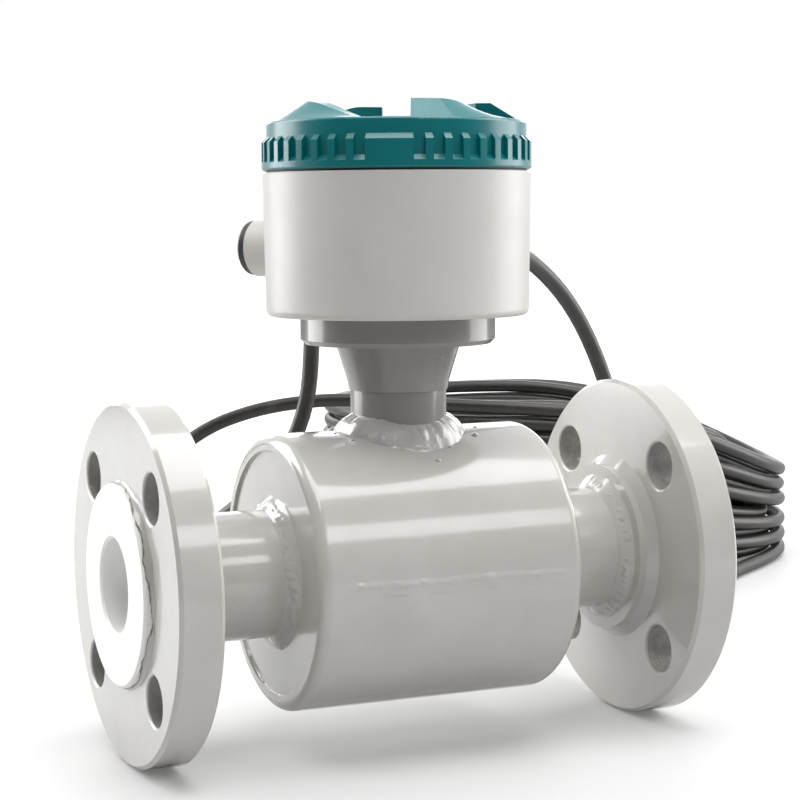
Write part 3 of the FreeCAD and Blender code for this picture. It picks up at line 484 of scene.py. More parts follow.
# Neck and collar: a darker grey than the body's paint, part of that darkness painted shade from the head
# above.
NECK = Finish("neck_paint_and_shade", (0.235, 0.231, 0.223), (0.21, 0.206, 0.198), Sheen.SEMI_GLOSS, coat=0.5,
              coat_rough=0.10, grain=0.9, grain_depth=0.008, wave=7.0, wave_depth=0.03)
WELD = WeldPaint("weld_paint", (0.54, 0.53, 0.505), (0.48, 0.47, 0.45), Sheen.GLOSS, coat=0.8,
                 coat_rough=0.05, grain=0.9, grain_depth=0.012, wave=5.0, wave_depth=0.06)
HEAD = Threaded("head_enamel", (0.60, 0.585, 0.56), (0.565, 0.55, 0.525), Sheen.SATIN, grain=0.7,
                grain_depth=0.022, wave=6.0, wave_depth=0.05, speck=0.12, foot=131.4, top=141.0, reach=41.5)
COVER = Finish("cover_enamel", (0.0, 0.155, 0.170), (0.0, 0.138, 0.152), Sheen.SEMI_GLOSS, grain=0.6,
               grain_depth=0.010, wave=11.0, wave_depth=0.03)
LINER = Liner("liner_white", (0.90, 0.90, 0.89), (0.87, 0.87, 0.86), Sheen.SATIN, grain=0.4,
              grain_depth=0.006)
CHIPPED = Finish("chipped_edge", (0.20, 0.17, 0.14), (0.34, 0.31, 0.27), Sheen.MATT, grain=1.2,
                 grain_depth=0.06)
JACKET = Jacket("cable_jacket", (0.017, 0.016, 0.015), (0.024, 0.022, 0.020), Sheen.SATIN, grain=0.4,
                grain_depth=0.008, wave=14.0, wave_depth=0.04)
GLAND = Finish("gland_polyamide", (0.022, 0.022, 0.024), (0.030, 0.030, 0.031), Sheen.SATIN, grain=0.3,
               grain_depth=0.012)
RUBBER = Finish("seal_rubber", (0.012, 0.012, 0.012), (0.018, 0.018, 0.018), Sheen.MATT, grain=0.5,
                grain_depth=0.01)
STEEL = Finish("bright_steel", (0.55, 0.55, 0.54), (0.46, 0.46, 0.45), Sheen.SEMI_GLOSS, 1.0, grain=0.4,
               grain_depth=0.006)
IRON = Finish("soft_iron", (0.20, 0.20, 0.205), (0.15, 0.148, 0.145), Sheen.MATT, 0.8, grain=0.6)
COPPER = Winding("coil_wire", (0.50, 0.17, 0.07), (0.42, 0.13, 0.05), Sheen.SEMI_GLOSS, 0.9)
NICKEL = Finish("nickelled_brass", (0.60, 0.56, 0.47), (0.52, 0.48, 0.40), Sheen.SEMI_GLOSS, 1.0)
NYLON = Finish("bush_nylon", (0.62, 0.60, 0.52), (0.56, 0.54, 0.46), Sheen.SATIN)
BOARD = Finish("board_green", (0.012, 0.095, 0.040), (0.010, 0.075, 0.032), Sheen.SATIN, grain=0.8)
TERMINAL = Finish("terminal_green", (0.020, 0.130, 0.060), (0.018, 0.110, 0.050), Sheen.SATIN)
SLEEVE = Finish("sleeve_black", (0.020, 0.020, 0.020), (0.028, 0.028, 0.028), Sheen.SEMI_GLOSS)
TIN = Finish("ferrule_tin", (0.62, 0.62, 0.61), (0.52, 0.52, 0.50), Sheen.SATIN, 1.0)

NODE_FINISHES: dict[str, tuple[str, ...]] = {
    "body_paint": ("flange_left", "flange_right", "measuring_pipe", "coil_housing", "end_plate_left",
                   "end_plate_right"),
    # Neck and collar get the darker grey that carries painted shade from the head.
    "neck_paint_and_shade": ("neck_tube", "collar_adapter"),
    "liner_white": ("liner", "liner_flare_left", "liner_flare_right"),
    "head_enamel": ("terminal_head",),
    "cover_enamel": ("cover",),
    "seal_rubber": ("cover_seal", "head_gasket", "gland_seal_right", "gland_seal_left"),
    "gland_polyamide": ("gland_body_right", "gland_body_left", "gland_nut_right", "gland_nut_left",
                        "blanking_plug"),
    "soft_iron": ("pole_core_upper", "pole_core_lower", "return_band"),
    "coil_wire": ("field_coil_upper", "field_coil_lower"),
    "bright_steel": ("electrode_front", "electrode_rear", "electrode_nuts", "head_screws", "board_screws"),
    "bush_nylon": ("electrode_bush_front", "electrode_bush_rear"),
    "board_green": ("terminal_board",),
    "terminal_green": ("signal_terminals", "coil_terminals"),
    "nickelled_brass": ("board_standoffs",),
    "cable_jacket": ("wire_bundle", "inner_cable_right", "inner_cable_left"),
}
FINISHES: tuple[Finish, ...] = (PAINT, NECK, WELD, HEAD, COVER, LINER, CHIPPED, JACKET, GLAND, RUBBER, STEEL,
                                IRON, COPPER, NICKEL, NYLON, BOARD, TERMINAL, SLEEVE, TIN)


@dataclass
class Palette:
    """All finishes, made once and given to pieces by name."""

    materials: dict[str, bpy.types.Material] = field(default_factory=dict)

    def make(self) -> None:
        """Build every material."""
        for finish in FINISHES:
            self.materials[finish.name] = finish.make()

    def give(self, piece: bpy.types.Object, name: str) -> None:
        """Put one finish all over a piece."""
        piece.data.materials.clear()
        piece.data.materials.append(self.materials[name])

    def dress_nodes(self) -> None:
        """Give each solid of the frame its finish."""
        for name, nodes in NODE_FINISHES.items():
            for node in nodes:
                self.give(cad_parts[node], name)


# ------------------------------------------------------------------ modelling helpers
def deselect() -> None:
    """Leave object mode and select nothing."""
    if bpy.context.object is not None and bpy.context.object.mode != "OBJECT":
        bpy.ops.object.mode_set(mode="OBJECT")
    bpy.ops.object.select_all(action="DESELECT")


def join(parts: list[bpy.types.Object]) -> bpy.types.Object:
    """Join several meshes into the first.

    Args:
        parts: the meshes.

    Returns:
        The joined mesh.
    """
    deselect()
    for part in parts:
        part.select_set(True)
    bpy.context.view_layer.objects.active = parts[0]
    bpy.ops.object.join()
    return bpy.context.object


def settle(piece: bpy.types.Object, name: str, body: str) -> bpy.types.Object:
    """Move a piece's place into its mesh, name it and let it ride.

    Args:
        piece: the finished mesh.
        name: its name.
        body: the body that carries it.

    Returns:
        The piece.
    """
    deselect()
    piece.select_set(True)
    bpy.context.view_layer.objects.active = piece
    bpy.ops.object.transform_apply(location=True, rotation=True, scale=True)
    piece.name = name
    piece.data.name = name
    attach(piece, body)
    return piece


def shape(piece: bpy.types.Object, change: Callable[[Vector], Vector]) -> None:
    """Move every point of a mesh by a rule.

    Args:
        piece: the mesh.
        change: gives each point its new place.
    """
    for vertex in piece.data.vertices:
        vertex.co = change(vertex.co)
    piece.data.update()


def wobble(angle: float, coarse: float, seed: float) -> float:
    """Return noise from about -0.6 to 0.6 that closes round a circle, with coarse lumps in half a turn."""
    return noise.noise(Vector((math.cos(angle) * coarse, math.sin(angle) * coarse, seed)))


@dataclass(frozen=True)
class Ragged:
    """A size in millimetres that wanders round a circle.

    Each wave has its height, how coarse it is and its seed.
    """

    middle: float
    waves: tuple[tuple[float, float, float], ...]

    def at(self, angle: float, seed: float = 0.0) -> float:
        """Return the size at an angle."""
        return self.middle + sum(high * wobble(angle, coarse, seed + own) for high, coarse, own in self.waves)


# ------------------------------------------------------------------ weld beads
@dataclass
class WeldBeads:
    """The painted welds: pipe to flanges, pipe to end plates, neck to housing, and the housing's seam.

    Sizes are in millimetres. What sinks is hidden under the surface that the bead lies on.
    """

    palette: Palette
    pipe_radius: float = 21.15
    hub_face: float = 77.0
    plate_face: float = 45.3
    plate_rim: float = 40.3
    neck_radius: float = 16.1
    housing_radius: float = 45.75
    housing_reach: float = 42.6
    flare_radius: float = 32.7
    flare_foot: float = 97.0
    sink: float = 0.10
    bead_along: Ragged = Ragged(3.9, ((1.2, 2.0, 0.0), (0.4, 8.0, 5.0)))
    bead_up: Ragged = Ragged(3.7, ((1.1, 2.2, 2.0), (0.4, 9.0, 7.0)))
    bead_bulge: float = 0.30
    bead_lumps: float = 0.60
    torch_passes: float = 52.0
    pass_height: float = 0.17
    neck_wide: Ragged = Ragged(6.2, ((1.0, 2.2, 4.2), (0.4, 7.0, 1.2)))
    neck_tall: Ragged = Ragged(5.4, ((0.8, 2.4, 9.2), (0.4, 8.0, 3.2)))
    neck_bulge: float = 0.75
    neck_lumps: float = 0.7
    paint_creep: Ragged = Ragged(1.3, ((1.5, 2.2, 1.3), (0.6, 8.0, 4.4), (0.35, 24.0, 9.4)))
    paint_root: float = 0.85
    paint_thick: float = 0.16
    dirt_thick: float = 0.17
    dirt_sway: float = 0.16
    edge_thick: Ragged = Ragged(0.40, ((0.5, 7.0, 3.0), (0.4, 26.0, 8.0)))
    seam_width: float = 9.0
    drop_count: int = 15

    def strip(self, name: str, finish: str, lay: Callable[[float, float], Vector], around: int = 240,
              across: int = 14) -> bpy.types.Object:
        """Wrap a narrow strip into a closed ring.

        Args:
            name: the strip's name.
            finish: its finish.
            lay: gives the place, in millimetres, from an angle and a share of the width.
            around: faces round the ring.
            across: faces over its width.

        Returns:
            The ring.
        """
        deselect()
        bpy.ops.mesh.primitive_grid_add(x_subdivisions=around, y_subdivisions=across, size=1.0,
                                        location=(0, 0, 0))
        ring = bpy.context.object
        shape(ring, lambda point: lay((point.x + 0.5) * 2.0 * math.pi, point.y + 0.5) * MM)
        bpy.ops.object.mode_set(mode="EDIT")
        bpy.ops.mesh.select_all(action="SELECT")
        bpy.ops.mesh.remove_doubles(threshold=0.00002)
        bpy.ops.mesh.normals_make_consistent(inside=False)
        bpy.ops.object.mode_set(mode="OBJECT")
        bpy.ops.object.shade_smooth()
        self.palette.give(ring, finish)
        return settle(ring, name, "meter")

    def round_bead(self, name: str, along: float, out: float, seed: float, ripple: float) -> bpy.types.Object:
        """Lay the bead in the corner between the pipe and a plate.

        Args:
            name: the bead's name.
            along: the plate's face along X.
            out: 1 where the bead spreads towards +X, -1 towards -X.
            seed: shifts its lumps.
            ripple: how clearly each pass of the torch shows.

        Returns:
            The bead.
        """

        def lay(angle: float, share: float) -> Vector:
            """Swell the bead between its two ragged toes.

            Args:
                angle: the place round the pipe, in radians.
                share: 0 at the toe on the pipe, 1 at the toe on the plate.

            Returns:
                The point, in millimetres.
            """
            low, high = self.bead_along.at(angle, seed), self.bead_up.at(angle, seed)
            lumps = 0.35 + wobble(angle, 3.2, seed + share) + 0.30 * wobble(angle, 10.0, seed + share * 1.7)
            arc = 14.0 * (share - 0.5) ** 2
            torch = math.sin(angle * self.torch_passes + arc + 3.0 * wobble(angle, 4.0, seed))
            swell = self.bead_bulge + self.bead_lumps * max(0.0, lumps) + ripple * self.pass_height * torch
            bulge = math.sin(math.pi * share) * swell
            slope = Vector((high, low)).normalized()
            x = low * (1.0 - share) - self.sink * (share > 0.999) + slope.x * bulge
            r = self.pipe_radius + high * share - 0.12 * (share < 0.001) + slope.y * bulge
            return Vector((along + out * x, r * math.cos(angle), r * math.sin(angle)))

        return self.strip(name, "weld_paint", lay)

    def neck_bead(self) -> bpy.types.Object:
        """Lay the saddle bead where the neck meets the housing.

        Returns:
            The bead.
        """

        def lay(angle: float, share: float) -> Vector:
            """Follow the round housing under the neck.

            Args:
                angle: the place round the neck, in radians.
                share: 0 at the toe on the neck, 1 at the toe on the housing.

            Returns:
                The point, in millimetres.
            """
            wide, tall = self.neck_wide.at(angle), self.neck_tall.at(angle)
            lumps = 0.30 + 1.1 * wobble(angle, 3.6, 6.0 + share) + 0.35 * wobble(angle, 9.0, 2.0 + share)
            bulge = math.sin(math.pi * share) * (self.neck_bulge + self.neck_lumps * max(0.0, lumps))
            r = self.neck_radius - self.sink + wide * share + 0.6 * bulge
            x, y = r * math.cos(angle), r * math.sin(angle)
            level = math.sqrt(self.housing_radius ** 2 - y * y)
            return Vector((x, y, level + tall * (1.0 - share) - 0.15 * (share > 0.999) + 0.7 * bulge))

        return self.strip("weld_neck", "weld_paint", lay, around=280, across=18)

    def paint_skirt(self, side: str, sign: float) -> bpy.types.Object:
        """Lay the torn edge of the paint on the rim of the liner's flare.

        Args:
            side: left or right.
            sign: -1 at the left, 1 at the right.

        Returns:
            The edge.
        """

        def lay(angle: float, share: float) -> Vector:
            """Climb from the flange face to the torn edge.

            Args:
                angle: the place round the rim, in radians.
                share: 0 at the flange face, 1 at the torn edge.

            Returns:
                The point, in millimetres.
            """
            x = self.flare_foot - 0.05 + self.paint_creep.at(angle) * share
            thick = self.paint_root * (1.0 - share) ** 2 + self.paint_thick * (share < 0.95)
            r = self.flare_radius + 0.04 + thick
            return Vector((sign * x, r * math.cos(angle), r * math.sin(angle)))

        return self.strip("paint_skirt_" + side, "body_paint", lay, around=300, across=6)

    def paint_line(self, side: str, sign: float) -> bpy.types.Object:
        """Lay the dirty line along the torn edge of the paint.

        Args:
            side: left or right.
            sign: -1 at the left, 1 at the right.

        Returns:
            The line.
        """

        def lay(angle: float, share: float) -> Vector:
            """Run a thin dark lip along the torn edge.

            Args:
                angle: the place round the rim, in radians.
                share: the place round the lip, 0 to 1.

            Returns:
                The point, in millimetres.
            """
            turn = share * 2.0 * math.pi
            thick = self.dirt_thick + self.dirt_sway * max(-0.8, wobble(angle, 14.0, 2.5) * 2.0)
            x = self.flare_foot + self.paint_creep.at(angle) + thick * math.cos(turn)
            r = self.flare_radius + 0.08 + thick * math.sin(turn)
            return Vector((sign * x, r * math.cos(angle), r * math.sin(angle)))

        return self.strip("paint_line_" + side, "chipped_edge", lay, around=300, across=8)

    def plate_edge(self, side: str, sign: float) -> bpy.types.Object:
        """Lay the paint that has drawn into the corner of an end plate and its lip.

        Args:
            side: left or right.
            sign: -1 at the left, 1 at the right.

        Returns:
            The line of paint.
        """

        def lay(angle: float, share: float) -> Vector:
            """Round the corner unevenly.

            Args:
                angle: the place round the plate, in radians.
                share: the place round the line's section, 0 to 1.

            Returns:
                The point, in millimetres.
            """
            turn = share * math.pi * 2.0
            thick = max(0.12, self.edge_thick.at(angle))
            x = self.plate_face + thick * 0.8 * math.sin(turn)
            r = self.plate_rim + 0.12 + thick * math.cos(turn)
            return Vector((sign * x, r * math.cos(angle), r * math.sin(angle)))

        return self.strip("plate_edge_" + side, "weld_paint", lay, around=300, across=8)

    def seam(self) -> bpy.types.Object:
        """Lay the flat, dressed seam along the housing.

        Returns:
            The seam.
        """
        deselect()
        bpy.ops.mesh.primitive_grid_add(x_subdivisions=180, y_subdivisions=26, size=1.0, location=(0, 0, 0))
        strip = bpy.context.object
        facing = math.radians(180.0)

        def lay(point: Vector) -> Vector:
            """Wrap the strip on the housing and raise two ragged ridges along its middle.

            Args:
                point: the place on the flat strip, from -0.5 to 0.5 both ways.

            Returns:
                The point, in metres.
            """
            along = point.x * 2.0 * self.housing_reach
            across = point.y * self.seam_width
            wander = 0.7 * noise.noise(Vector((along * 0.05, 3.1, 0.0)))
            upper = math.exp(-(((across - 1.2 - wander) / 1.10) ** 2))
            lower = math.exp(-(((across + 1.8 - wander) / 0.60) ** 2))
            broken = 0.65 + 0.5 * noise.noise(Vector((along * 0.22, 0.0, 7.0)))
            patchy = max(0.0, 0.5 + 0.9 * noise.noise(Vector((along * 0.12, 5.0, 2.0))))
            rise = 0.60 * upper * broken + 0.40 * lower * patchy
            rise += 0.20 * upper * noise.noise(Vector((along * 0.7, across * 0.7, 1.0)))
            edge = min(1.0, (0.5 - abs(point.x)) * 12.0) * min(1.0, (0.5 - abs(point.y)) * 6.0)
            turn = facing - across / self.housing_radius
            out = self.housing_radius - 0.06 + max(0.0, rise) * edge
            return Vector((along, math.cos(turn) * out, math.sin(turn) * out)) * MM

        shape(strip, lay)
        bpy.ops.object.shade_smooth()
        self.palette.give(strip, "body_paint")
        return settle(strip, "housing_seam", "meter")

    def drop(self, number: int) -> bpy.types.Object:
        """Lay one painted-over weld drop on the housing near the neck.

        Args:
            number: which drop it is.

        Returns:
            The drop.
        """
        golden_turn = 2.399
        turn = number * golden_turn
        reach = self.neck_radius + 4.4 + 11.0 * abs(noise.noise(Vector((number * 1.37, 2.0, 0.5))))
        size = 0.5 + 1.5 * abs(noise.noise(Vector((number * 0.73, 8.0, 1.5))))
        x, y = reach * math.cos(turn), reach * math.sin(turn)
        level = math.sqrt(self.housing_radius ** 2 - y * y)
        at = Vector((x, y, level - 0.15 * size)) * MM
        deselect()
        bpy.ops.mesh.primitive_ico_sphere_add(subdivisions=3, radius=size * MM, location=(0, 0, 0))
        drop = bpy.context.object

        def slump(point: Vector) -> Vector:
            """Flatten a drop and dent it.

            Args:
                point: the place on the ball, in metres.

            Returns:
                The place on the drop, in metres.
            """
            dent = 1.0 + 0.35 * noise.noise(point * 900.0 + at * 300.0)
            return at + Vector((point.x * 1.3 * dent, point.y * 1.1 * dent, point.z * 0.75 * dent))

        shape(drop, slump)
        return drop

    def spatter(self) -> bpy.types.Object:
        """Scatter weld drops round the neck.

        Returns:
            All drops as one piece.
        """
        drops = join([self.drop(number) for number in range(self.drop_count)])
        bpy.ops.object.shade_smooth()
        self.palette.give(drops, "weld_paint")
        return settle(drops, "weld_spatter", "meter")

    def build(self) -> list[bpy.types.Object]:
        """Lay every bead.

        Returns:
            The beads.
        """
        made = [
            self.round_bead("weld_flange_left", -self.hub_face, 1.0, 0.0, 1.0),
            self.round_bead("weld_flange_right", self.hub_face, -1.0, 3.7, 1.0),
            self.round_bead("weld_plate_left", -self.plate_face, -1.0, 6.1, 0.25),
            self.round_bead("weld_plate_right", self.plate_face, 1.0, 9.4, 0.4),
            self.neck_bead(),
            self.seam(),
            self.spatter(),
        ]
        for side, sign in (("left", -1.0), ("right", 1.0)):
            made += [self.paint_skirt(side, sign), self.paint_line(side, sign), self.plate_edge(side, sign)]
        return made


# ------------------------------------------------------------------ cables
class Climb(Enum):
    """Which way a coil's outer column is laid."""

    UP = 1
    DOWN = -1


@dataclass
class Coil:
    """One oval coil of cable: an outer column of turns, then an inner one back to the start's level.

    Sizes are in millimetres, angles in degrees round the coil from its long axis. The cable crosses from the
    outer column to the inner one over crossing degrees. Where the turns are pressed together, each column is
    parted into two that lie row apart.
    """

    start_angle: float
    end_angle: float
    start_level: float
    climb: Climb
    pitch: float
    seed: float
    turns: int = 5
    crossing: float = 90.0
    floor_level: float = -55.2
    row: float = 7.35
    lift: float = 0.0
    centre: tuple[float, float] = (229.6, 316.0)
    turned: float = -24.1
    outer: tuple[float, float] = (118.0, 98.0)
    inner: tuple[float, float] = (104.0, 84.0)
    steps: int = 16
    loose: float = 2.4
    firm_ends: float = 5.0

    def gathered(self, angle: float) -> float:
        """Return how far the turns are pressed together: 1 at the far right, 0 over the left half."""
        right = max(0.0, math.cos(math.radians(angle)))
        return right * right * (1.6 - 0.6 * right)

    def place(self, u: float, v: float, z: float) -> Point:
        """Turn a point of the coil into the row frame, in millimetres."""
        c, s = math.cos(math.radians(self.turned)), math.sin(math.radians(self.turned))
        return (self.centre[0] + u * c - v * s, self.centre[1] + u * s + v * c, z)

    def lay(self, angle: float, share: float, level: float, free: float) -> Point:
        """Lay one point of a turn.

        Towards the right end two columns of turns become four that are half as high.

        Args:
            angle: how far round the coil it lies.
            share: 0 in the outer column, 1 in the inner one.
            level: its height where the turns aren't pressed.
            free: how freely it wanders, 0 at the coil's two ends.

        Returns:
            The point in the row frame, in millimetres.
        """
        press = self.gathered(angle)
        odd = math.floor((angle + FULL_TURN / 2) / FULL_TURN) % 2
        aside = self.row * press ** 0.7 * odd + 0.7 * press * share
        level = self.floor_level + (level - self.floor_level) * (1.0 - 0.5 * press)
        wide = self.outer[0] + (self.inner[0] - self.outer[0]) * share - aside
        deep = self.outer[1] + (self.inner[1] - self.outer[1]) * share - aside
        spot = angle / FULL_TURN
        slack = self.loose * free * (1.0 - 0.6 * press) * (
            noise.noise(Vector((spot * 2.3, self.seed, 0.0)))
            + 0.6 * noise.noise(Vector((spot * 5.1, self.seed, 4.0))))
        t = math.radians(angle)
        return self.place((wide + slack) * math.cos(t), (deep + slack) * math.sin(t), level)

    def points(self) -> list[Point]:
        """Lay the turns.

        Returns:
            The points in the row frame, in millimetres.
        """
        column = FULL_TURN * self.turns
        outer_end = self.start_angle + column
        inner_start = outer_end + self.crossing
        rest = self.end_angle - self.start_angle - self.crossing
        rest = (rest + FULL_TURN / 2) % FULL_TURN - FULL_TURN / 2
        total = 2 * column + rest + self.crossing
        count = int(round(total / (FULL_TURN / self.steps)))
        rise = self.climb.value * self.pitch * self.turns
        made = []
        for i in range(1, count):
            angle = self.start_angle + total * i / count
            if angle <= outer_end:
                share = 0.0
                level = self.start_level + rise * (angle - self.start_angle) / column
            elif angle <= inner_start:
                share = (angle - outer_end) / self.crossing
                share = share * share * (3.0 - 2.0 * share)
                level = self.start_level + rise + self.lift * math.sin(math.pi * share)
            else:
                share = 1.0
                run = self.start_angle + total - inner_start
                level = self.start_level + rise * (1.0 - (angle - inner_start) / run)
            free = min(1.0, i / self.firm_ends, (count - i) / self.firm_ends)
            made.append(self.lay(angle, share, level, free))
        return made


@dataclass(frozen=True)
class EndLength:
    """One round length of a cable's stripped end, in millimetres from the jacket's cut."""

    radius: float
    start: float
    stop: float
    taper: float


@dataclass
class Cable:
    """One free cable: its lead from the gland, its coil and its stripped tail."""

    side: str
    lead: list[Point]
    coil: Coil
    tail: list[Point]
    length: float
    palette: Palette
    diameter: float = 6.5
    core_colours: tuple[Colour, ...] = ((0.25, 0.02, 0.015), (0.02, 0.05, 0.25), (0.30, 0.28, 0.02))
    core_offsets: tuple[float, ...] = (-1.9, 0.0, 1.9)
    sleeve: EndLength = EndLength(3.45, 0.1, 17.8, 0.6)
    core: EndLength = EndLength(0.82, 17.0, 29.5, 0.12)
    ferrule: EndLength = EndLength(0.88, 29.5, 38.8, 0.15)

    def route(self) -> list[Point]:
        """Return all points of the cable, in millimetres."""
        return self.lead + self.coil.points() + [self.coil.place(*p) for p in self.tail]

    def line(self, points: list[Point]) -> bpy.types.Object:
        """Make the round cable through its points.

        Args:
            points: the route, in millimetres.

        Returns:
            The cable's curve.
        """
        data = bpy.data.curves.new("cable_" + self.side + "_line", "CURVE")
        data.dimensions = "3D"
        data.bevel_depth = self.diameter / 2 * MM
        data.bevel_resolution = 5
        data.resolution_u = 5
        data.use_fill_caps = True
        spline = data.splines.new("NURBS")
        spline.points.add(len(points) - 1)
        for point, (x, y, z) in zip(spline.points, points):
            point.co = (x * MM, y * MM, z * MM, 1.0)
        spline.order_u = 3
        spline.use_endpoint_u = True
        piece = bpy.data.objects.new("cable_line_" + self.side, data)
        bpy.context.scene.collection.objects.link(piece)
        self.palette.give(piece, "cable_jacket")
        return piece

    def build(self) -> list[bpy.types.Object]:
        """Make the cable and its end.

        Returns:
            The cable's curve and its stripped end.
        """
        points = self.route()
        piece = self.line(points)
        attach(piece, "meter")
        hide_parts("cable_" + self.side, "cable_coil_" + self.side, "cable_tail_" + self.side)
        last, before = Vector(points[-1]), Vector(points[-2])
        end = self.end_piece(last, (last - before).normalized())
        tuple(c * MM for c in points[0])
        self.diameter * MM
        return [piece, end]

    def end_piece(self, at: Vector, run: Vector) -> bpy.types.Object:
        """Make the stripped end: a shrink sleeve, three cores and their ferrules.

        Args:
            at: the end of the jacket, in millimetres.
            run: the direction the cable heads in.

        Returns:
            The end piece.
        """
        side = run.cross(Vector((0, 0, 1))).normalized()
        basis = Matrix((side, side.cross(run), run)).transposed().to_4x4()

        def tube(length: EndLength, offset: float, finish: str) -> bpy.types.Object:
            """Make one round length of the end.

            Args:
                length: its sizes.
                offset: how far it lies aside, in millimetres.
                finish: its finish.

            Returns:
                The length.
            """
            deselect()
            centre = (at + run * ((length.start + length.stop) / 2) + side * offset) * MM
            bpy.ops.mesh.primitive_cylinder_add(vertices=28, radius=length.radius * MM,
                                                depth=(length.stop - length.start) * MM, location=centre)
            part = bpy.context.object
            part.matrix_world = Matrix.Translation(centre) @ basis
            bpy.ops.object.mode_set(mode="EDIT")
            bpy.ops.mesh.select_all(action="SELECT")
            bpy.ops.mesh.bevel(offset=length.taper * MM, segments=3, affect="EDGES")
            bpy.ops.object.mode_set(mode="OBJECT")
            bpy.ops.object.transform_apply(location=True, rotation=True, scale=True)
            bpy.ops.object.shade_smooth_by_angle(angle=math.radians(35))
            self.palette.give(part, finish)
            return part

        parts = [tube(self.sleeve, 0.0, "sleeve_black")]
        for number, offset in enumerate(self.core_offsets):
            parts.append(tube(self.core, offset, self.core_name(number)))
            parts.append(tube(self.ferrule, offset, "ferrule_tin"))
        end = settle(join(parts), "cable_stripped_" + self.side, "meter")
        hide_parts("cable_end_" + self.side)
        return end

    def core_name(self, number: int) -> str:
        """Make the finish of one core.

        Args:
            number: which core it is.

        Returns:
            The finish's name.
        """
        name = "core_%s_%d" % (self.side, number)
        colour = self.core_colours[number]
        finish = Finish(name, colour, tuple(c * 0.8 for c in colour), Sheen.SEMI_GLOSS, grain=0.3)
        self.palette.materials[name] = finish.make()
        return name


def right_cable(palette: Palette) -> Cable:
    """Set out the right-hand cable, which ends in the lower coil.

    Args:
        palette: the finishes.

    Returns:
        The cable.
    """
    lead = [(58.51, 61.66, 106), (79.1, 83.4, 106), (107, 105, 98), (132, 118, 79), (151, 126, 50),
            (167, 134, 10), (182, 143, -28), (203, 158, -51), (236, 178, -55.2), (268, 206, -55.2),
            (303, 230, -55.2)]
    coil = Coil(-30.0, 90.0, -55.2, Climb.UP, 7.35, 1.0, lift=4.5)
    tail = [(0, 84, -55.2), (-28, 78, -55.2), (-52, 64, -55.2), (-64, 42, -55.2), (-62, 18, -55.2)]
    return Cable("right", lead, coil, tail, 6.85, palette)


def left_cable(palette: Palette) -> Cable:
    """Set out the left-hand cable, which ends in the upper coil.

    Args:
        palette: the finishes.

    Returns:
        The cable.
    """
    lead = [(11.09, 84.27, 106), (14.5, 104.1, 106), (19, 123, 101), (23.6, 137.4, 87), (26.5, 144, 65),
            (25.3, 147.5, 38), (16.6, 159, 12), (2, 183, -8), (-13, 213, -30), (-25, 249, -50),
            (-23, 287, -54), (-7, 318, -37), (17, 331, -7), (41, 329, 13), (66, 317, 23.2),
            (91, 301.5, 27.6), (113, 285, 27.8), (141, 262, 26.0)]
    coil = Coil(-120.0, -63.8, 25.4, Climb.DOWN, 7.3, 6.0)
    tail = [(46, -75.5, 15.0), (70, -62, 9.5), (84, -36, 0), (82, -12, -9), (72, 8, -26), (61, 19, -45),
            (46, 27, -55.2), (24, 30, -55.2), (4, 29, -55.2)]
    return Cable("left", lead, coil, tail, 7.06, palette)


# ------------------------------------------------------------------ studio
@dataclass(frozen=True)
class SoftBox:
    """A soft lamp: where it hangs, what it faces, its width and height in metres, and its watts."""

    name: str
    at: Point
    aim: Point
    size: tuple[float, float]
    power: float

    def hang(self) -> None:
        """Hang the lamp."""
        data = bpy.data.lights.new(self.name, "AREA")
        data.shape = "RECTANGLE"
        data.size, data.size_y = self.size
        data.energy = self.power
        lamp = bpy.data.objects.new(self.name, data)
        bpy.context.scene.collection.objects.link(lamp)
        back = Vector(self.at) - Vector(self.aim)
        lamp.matrix_world = Matrix.Translation(self.at) @ back.to_track_quat("Z", "Y").to_matrix().to_4x4()


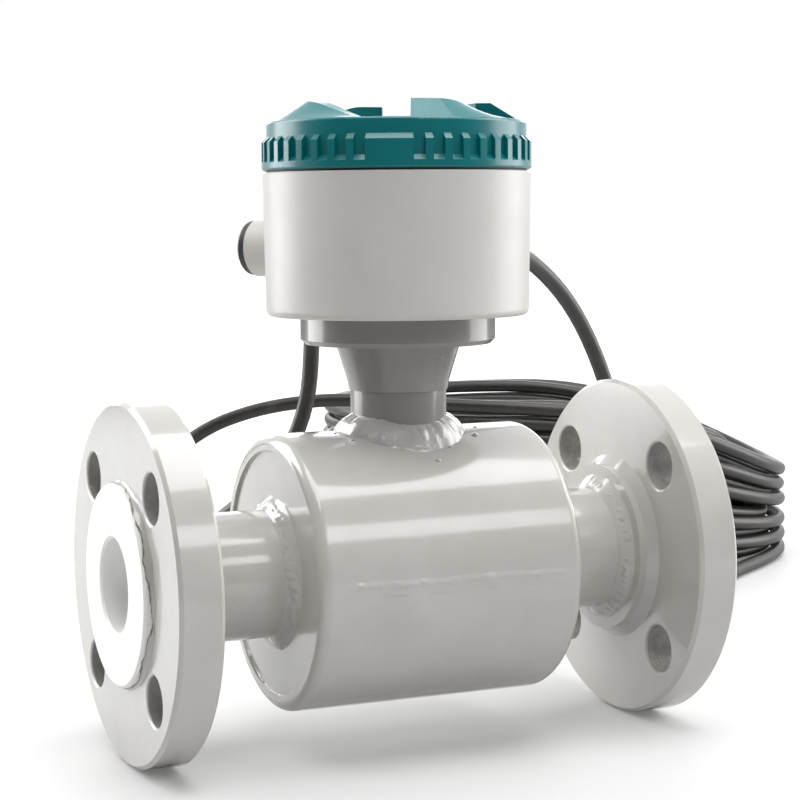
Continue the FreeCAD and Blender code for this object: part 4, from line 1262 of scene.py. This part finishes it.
@dataclass
class Studio:
    """The pale floor, the soft lamps and the camera. Sizes are in metres."""

    floor_level: float = -0.05875
    floor_gap: float = 0.0002
    floor_size: float = 14.0
    eye: Point = (-0.2866, -0.6417, 0.1179)
    aim: Point = (0.0006, 0.0, 0.0551)
    roll: float = -0.44
    lens: float = 94.5
    paper: Colour = (0.60, 0.60, 0.60)
    lift: Colour = (0.13, 0.13, 0.13)
    white: Colour = (1.0, 1.0, 1.0)
    black: Colour = (0.0, 0.0, 0.0)
    daylight: float = 0.18
    near_glow: float = 0.10
    soft_boxes: tuple[SoftBox, ...] = (
        SoftBox("top_box", (0.05, -0.12, 1.15), (0.0, 0.0, 0.0), (1.2, 0.9), 14.5),
        SoftBox("front_box", (0.24, -0.95, 0.68), (0.0, 0.0, 0.0), (0.8, 0.26), 2.6),
        SoftBox("left_box", (-0.74, 0.82, 0.42), (0.0, 0.0, 0.03), (0.75, 1.2), 15.0),
        SoftBox("back_box", (0.55, 1.25, 0.42), (0.0, 0.0, 0.10), (1.6, 0.32), 5.0),
        SoftBox("right_box", (1.09, -0.06, 0.42), (0.0, 0.0, 0.03), (0.8, 1.1), 11.0),
    )

    def camera(self) -> None:
        """Place the camera."""
        data = bpy.data.cameras.new("camera")
        data.lens = self.lens
        data.sensor_width = 36.0
        data.clip_start, data.clip_end = 0.01, 20.0
        camera = bpy.data.objects.new("camera", data)
        bpy.context.scene.collection.objects.link(camera)
        back = Vector(self.eye) - Vector(self.aim)
        turn = back.to_track_quat("Z", "Y").to_matrix().to_4x4()
        roll = Matrix.Rotation(math.radians(self.roll), 4, "Z")
        camera.matrix_world = Matrix.Translation(self.eye) @ turn @ roll
        bpy.context.scene.camera = camera

    def floor(self) -> None:
        """Lay the floor, whiter to the camera the farther it lies, with the object's shadow on it."""
        deselect()
        level = self.floor_level - self.floor_gap
        bpy.ops.mesh.primitive_plane_add(size=self.floor_size, location=(0, 0, level))
        floor = bpy.context.object
        floor.name = "floor"
        graph = MaterialGraph("floor_paper")
        place = graph.place()
        uneven = graph.noise(place, 1000.0 / 3.0).above(0.5, 0.6)
        tone = graph.mix(uneven, self.paper, tuple(c * 0.985 for c in self.paper))
        x, y, z = graph.axes(place)
        far = (x * x + y * y).root().above(1.0, 1.2)
        glow = graph.mix(graph.ray("Camera"), self.black, graph.mix(far, self.lift, self.white))
        graph.dress(Base_Color=tone, Roughness=0.55, Specular_IOR_Level=0.25, Emission_Color=glow,
                    Emission_Strength=1.0)
        floor.data.materials.append(graph.material)

    def world(self) -> None:
        """Light the surroundings evenly, show them white, and dim what mirrors see behind the camera."""
        world = bpy.data.worlds.new("studio")
        bpy.context.scene.world = world
        world.use_nodes = True
        graph = Graph(world.node_tree)
        background = world.node_tree.nodes["Background"]
        way = graph.node("ShaderNodeTexCoord", output="Generated")
        ahead = (Vector(self.aim) - Vector(self.eye)).normalized()
        facing = graph.node("ShaderNodeVectorMath", {"operation": "DOT_PRODUCT"}, {0: way, 1: ahead}, "Value")
        mirrored = graph.node("ShaderNodeMapRange", {"interpolation_type": "SMOOTHSTEP"},
                              {0: facing, 1: -0.55, 2: 0.15, 3: self.near_glow, 4: 1.0})
        glossy = graph.ray("Glossy").most(graph.ray("Transmission"))
        shown = graph.blend(glossy, self.daylight, mirrored)
        graph.feed(background.inputs["Color"], self.white)
        graph.feed(background.inputs["Strength"], graph.blend(graph.ray("Camera"), shown, 1.0))

    def build(self) -> None:
        """Set up the whole studio."""
        self.camera()
        self.floor()
        self.world()
        for soft_box in self.soft_boxes:
            soft_box.hang()
        bpy.context.scene.view_settings.view_transform = "Standard"


def main() -> None:
    """Build every assembly and report each piece."""
    logging.basicConfig(level=logging.INFO, format="%(message)s")
    palette = Palette()
    palette.make()
    palette.dress_nodes()
    LOG.info("dressed %d solids", sum(len(nodes) for nodes in NODE_FINISHES.values()))
    Studio().build()
    LOG.info("set up the studio")
    for assembly in (WeldBeads(palette), right_cable(palette), left_cable(palette)):
        for piece in assembly.build():
            LOG.info("%s: made %s", type(assembly).__name__, piece.name)


if __name__ == "__main__":
    main()
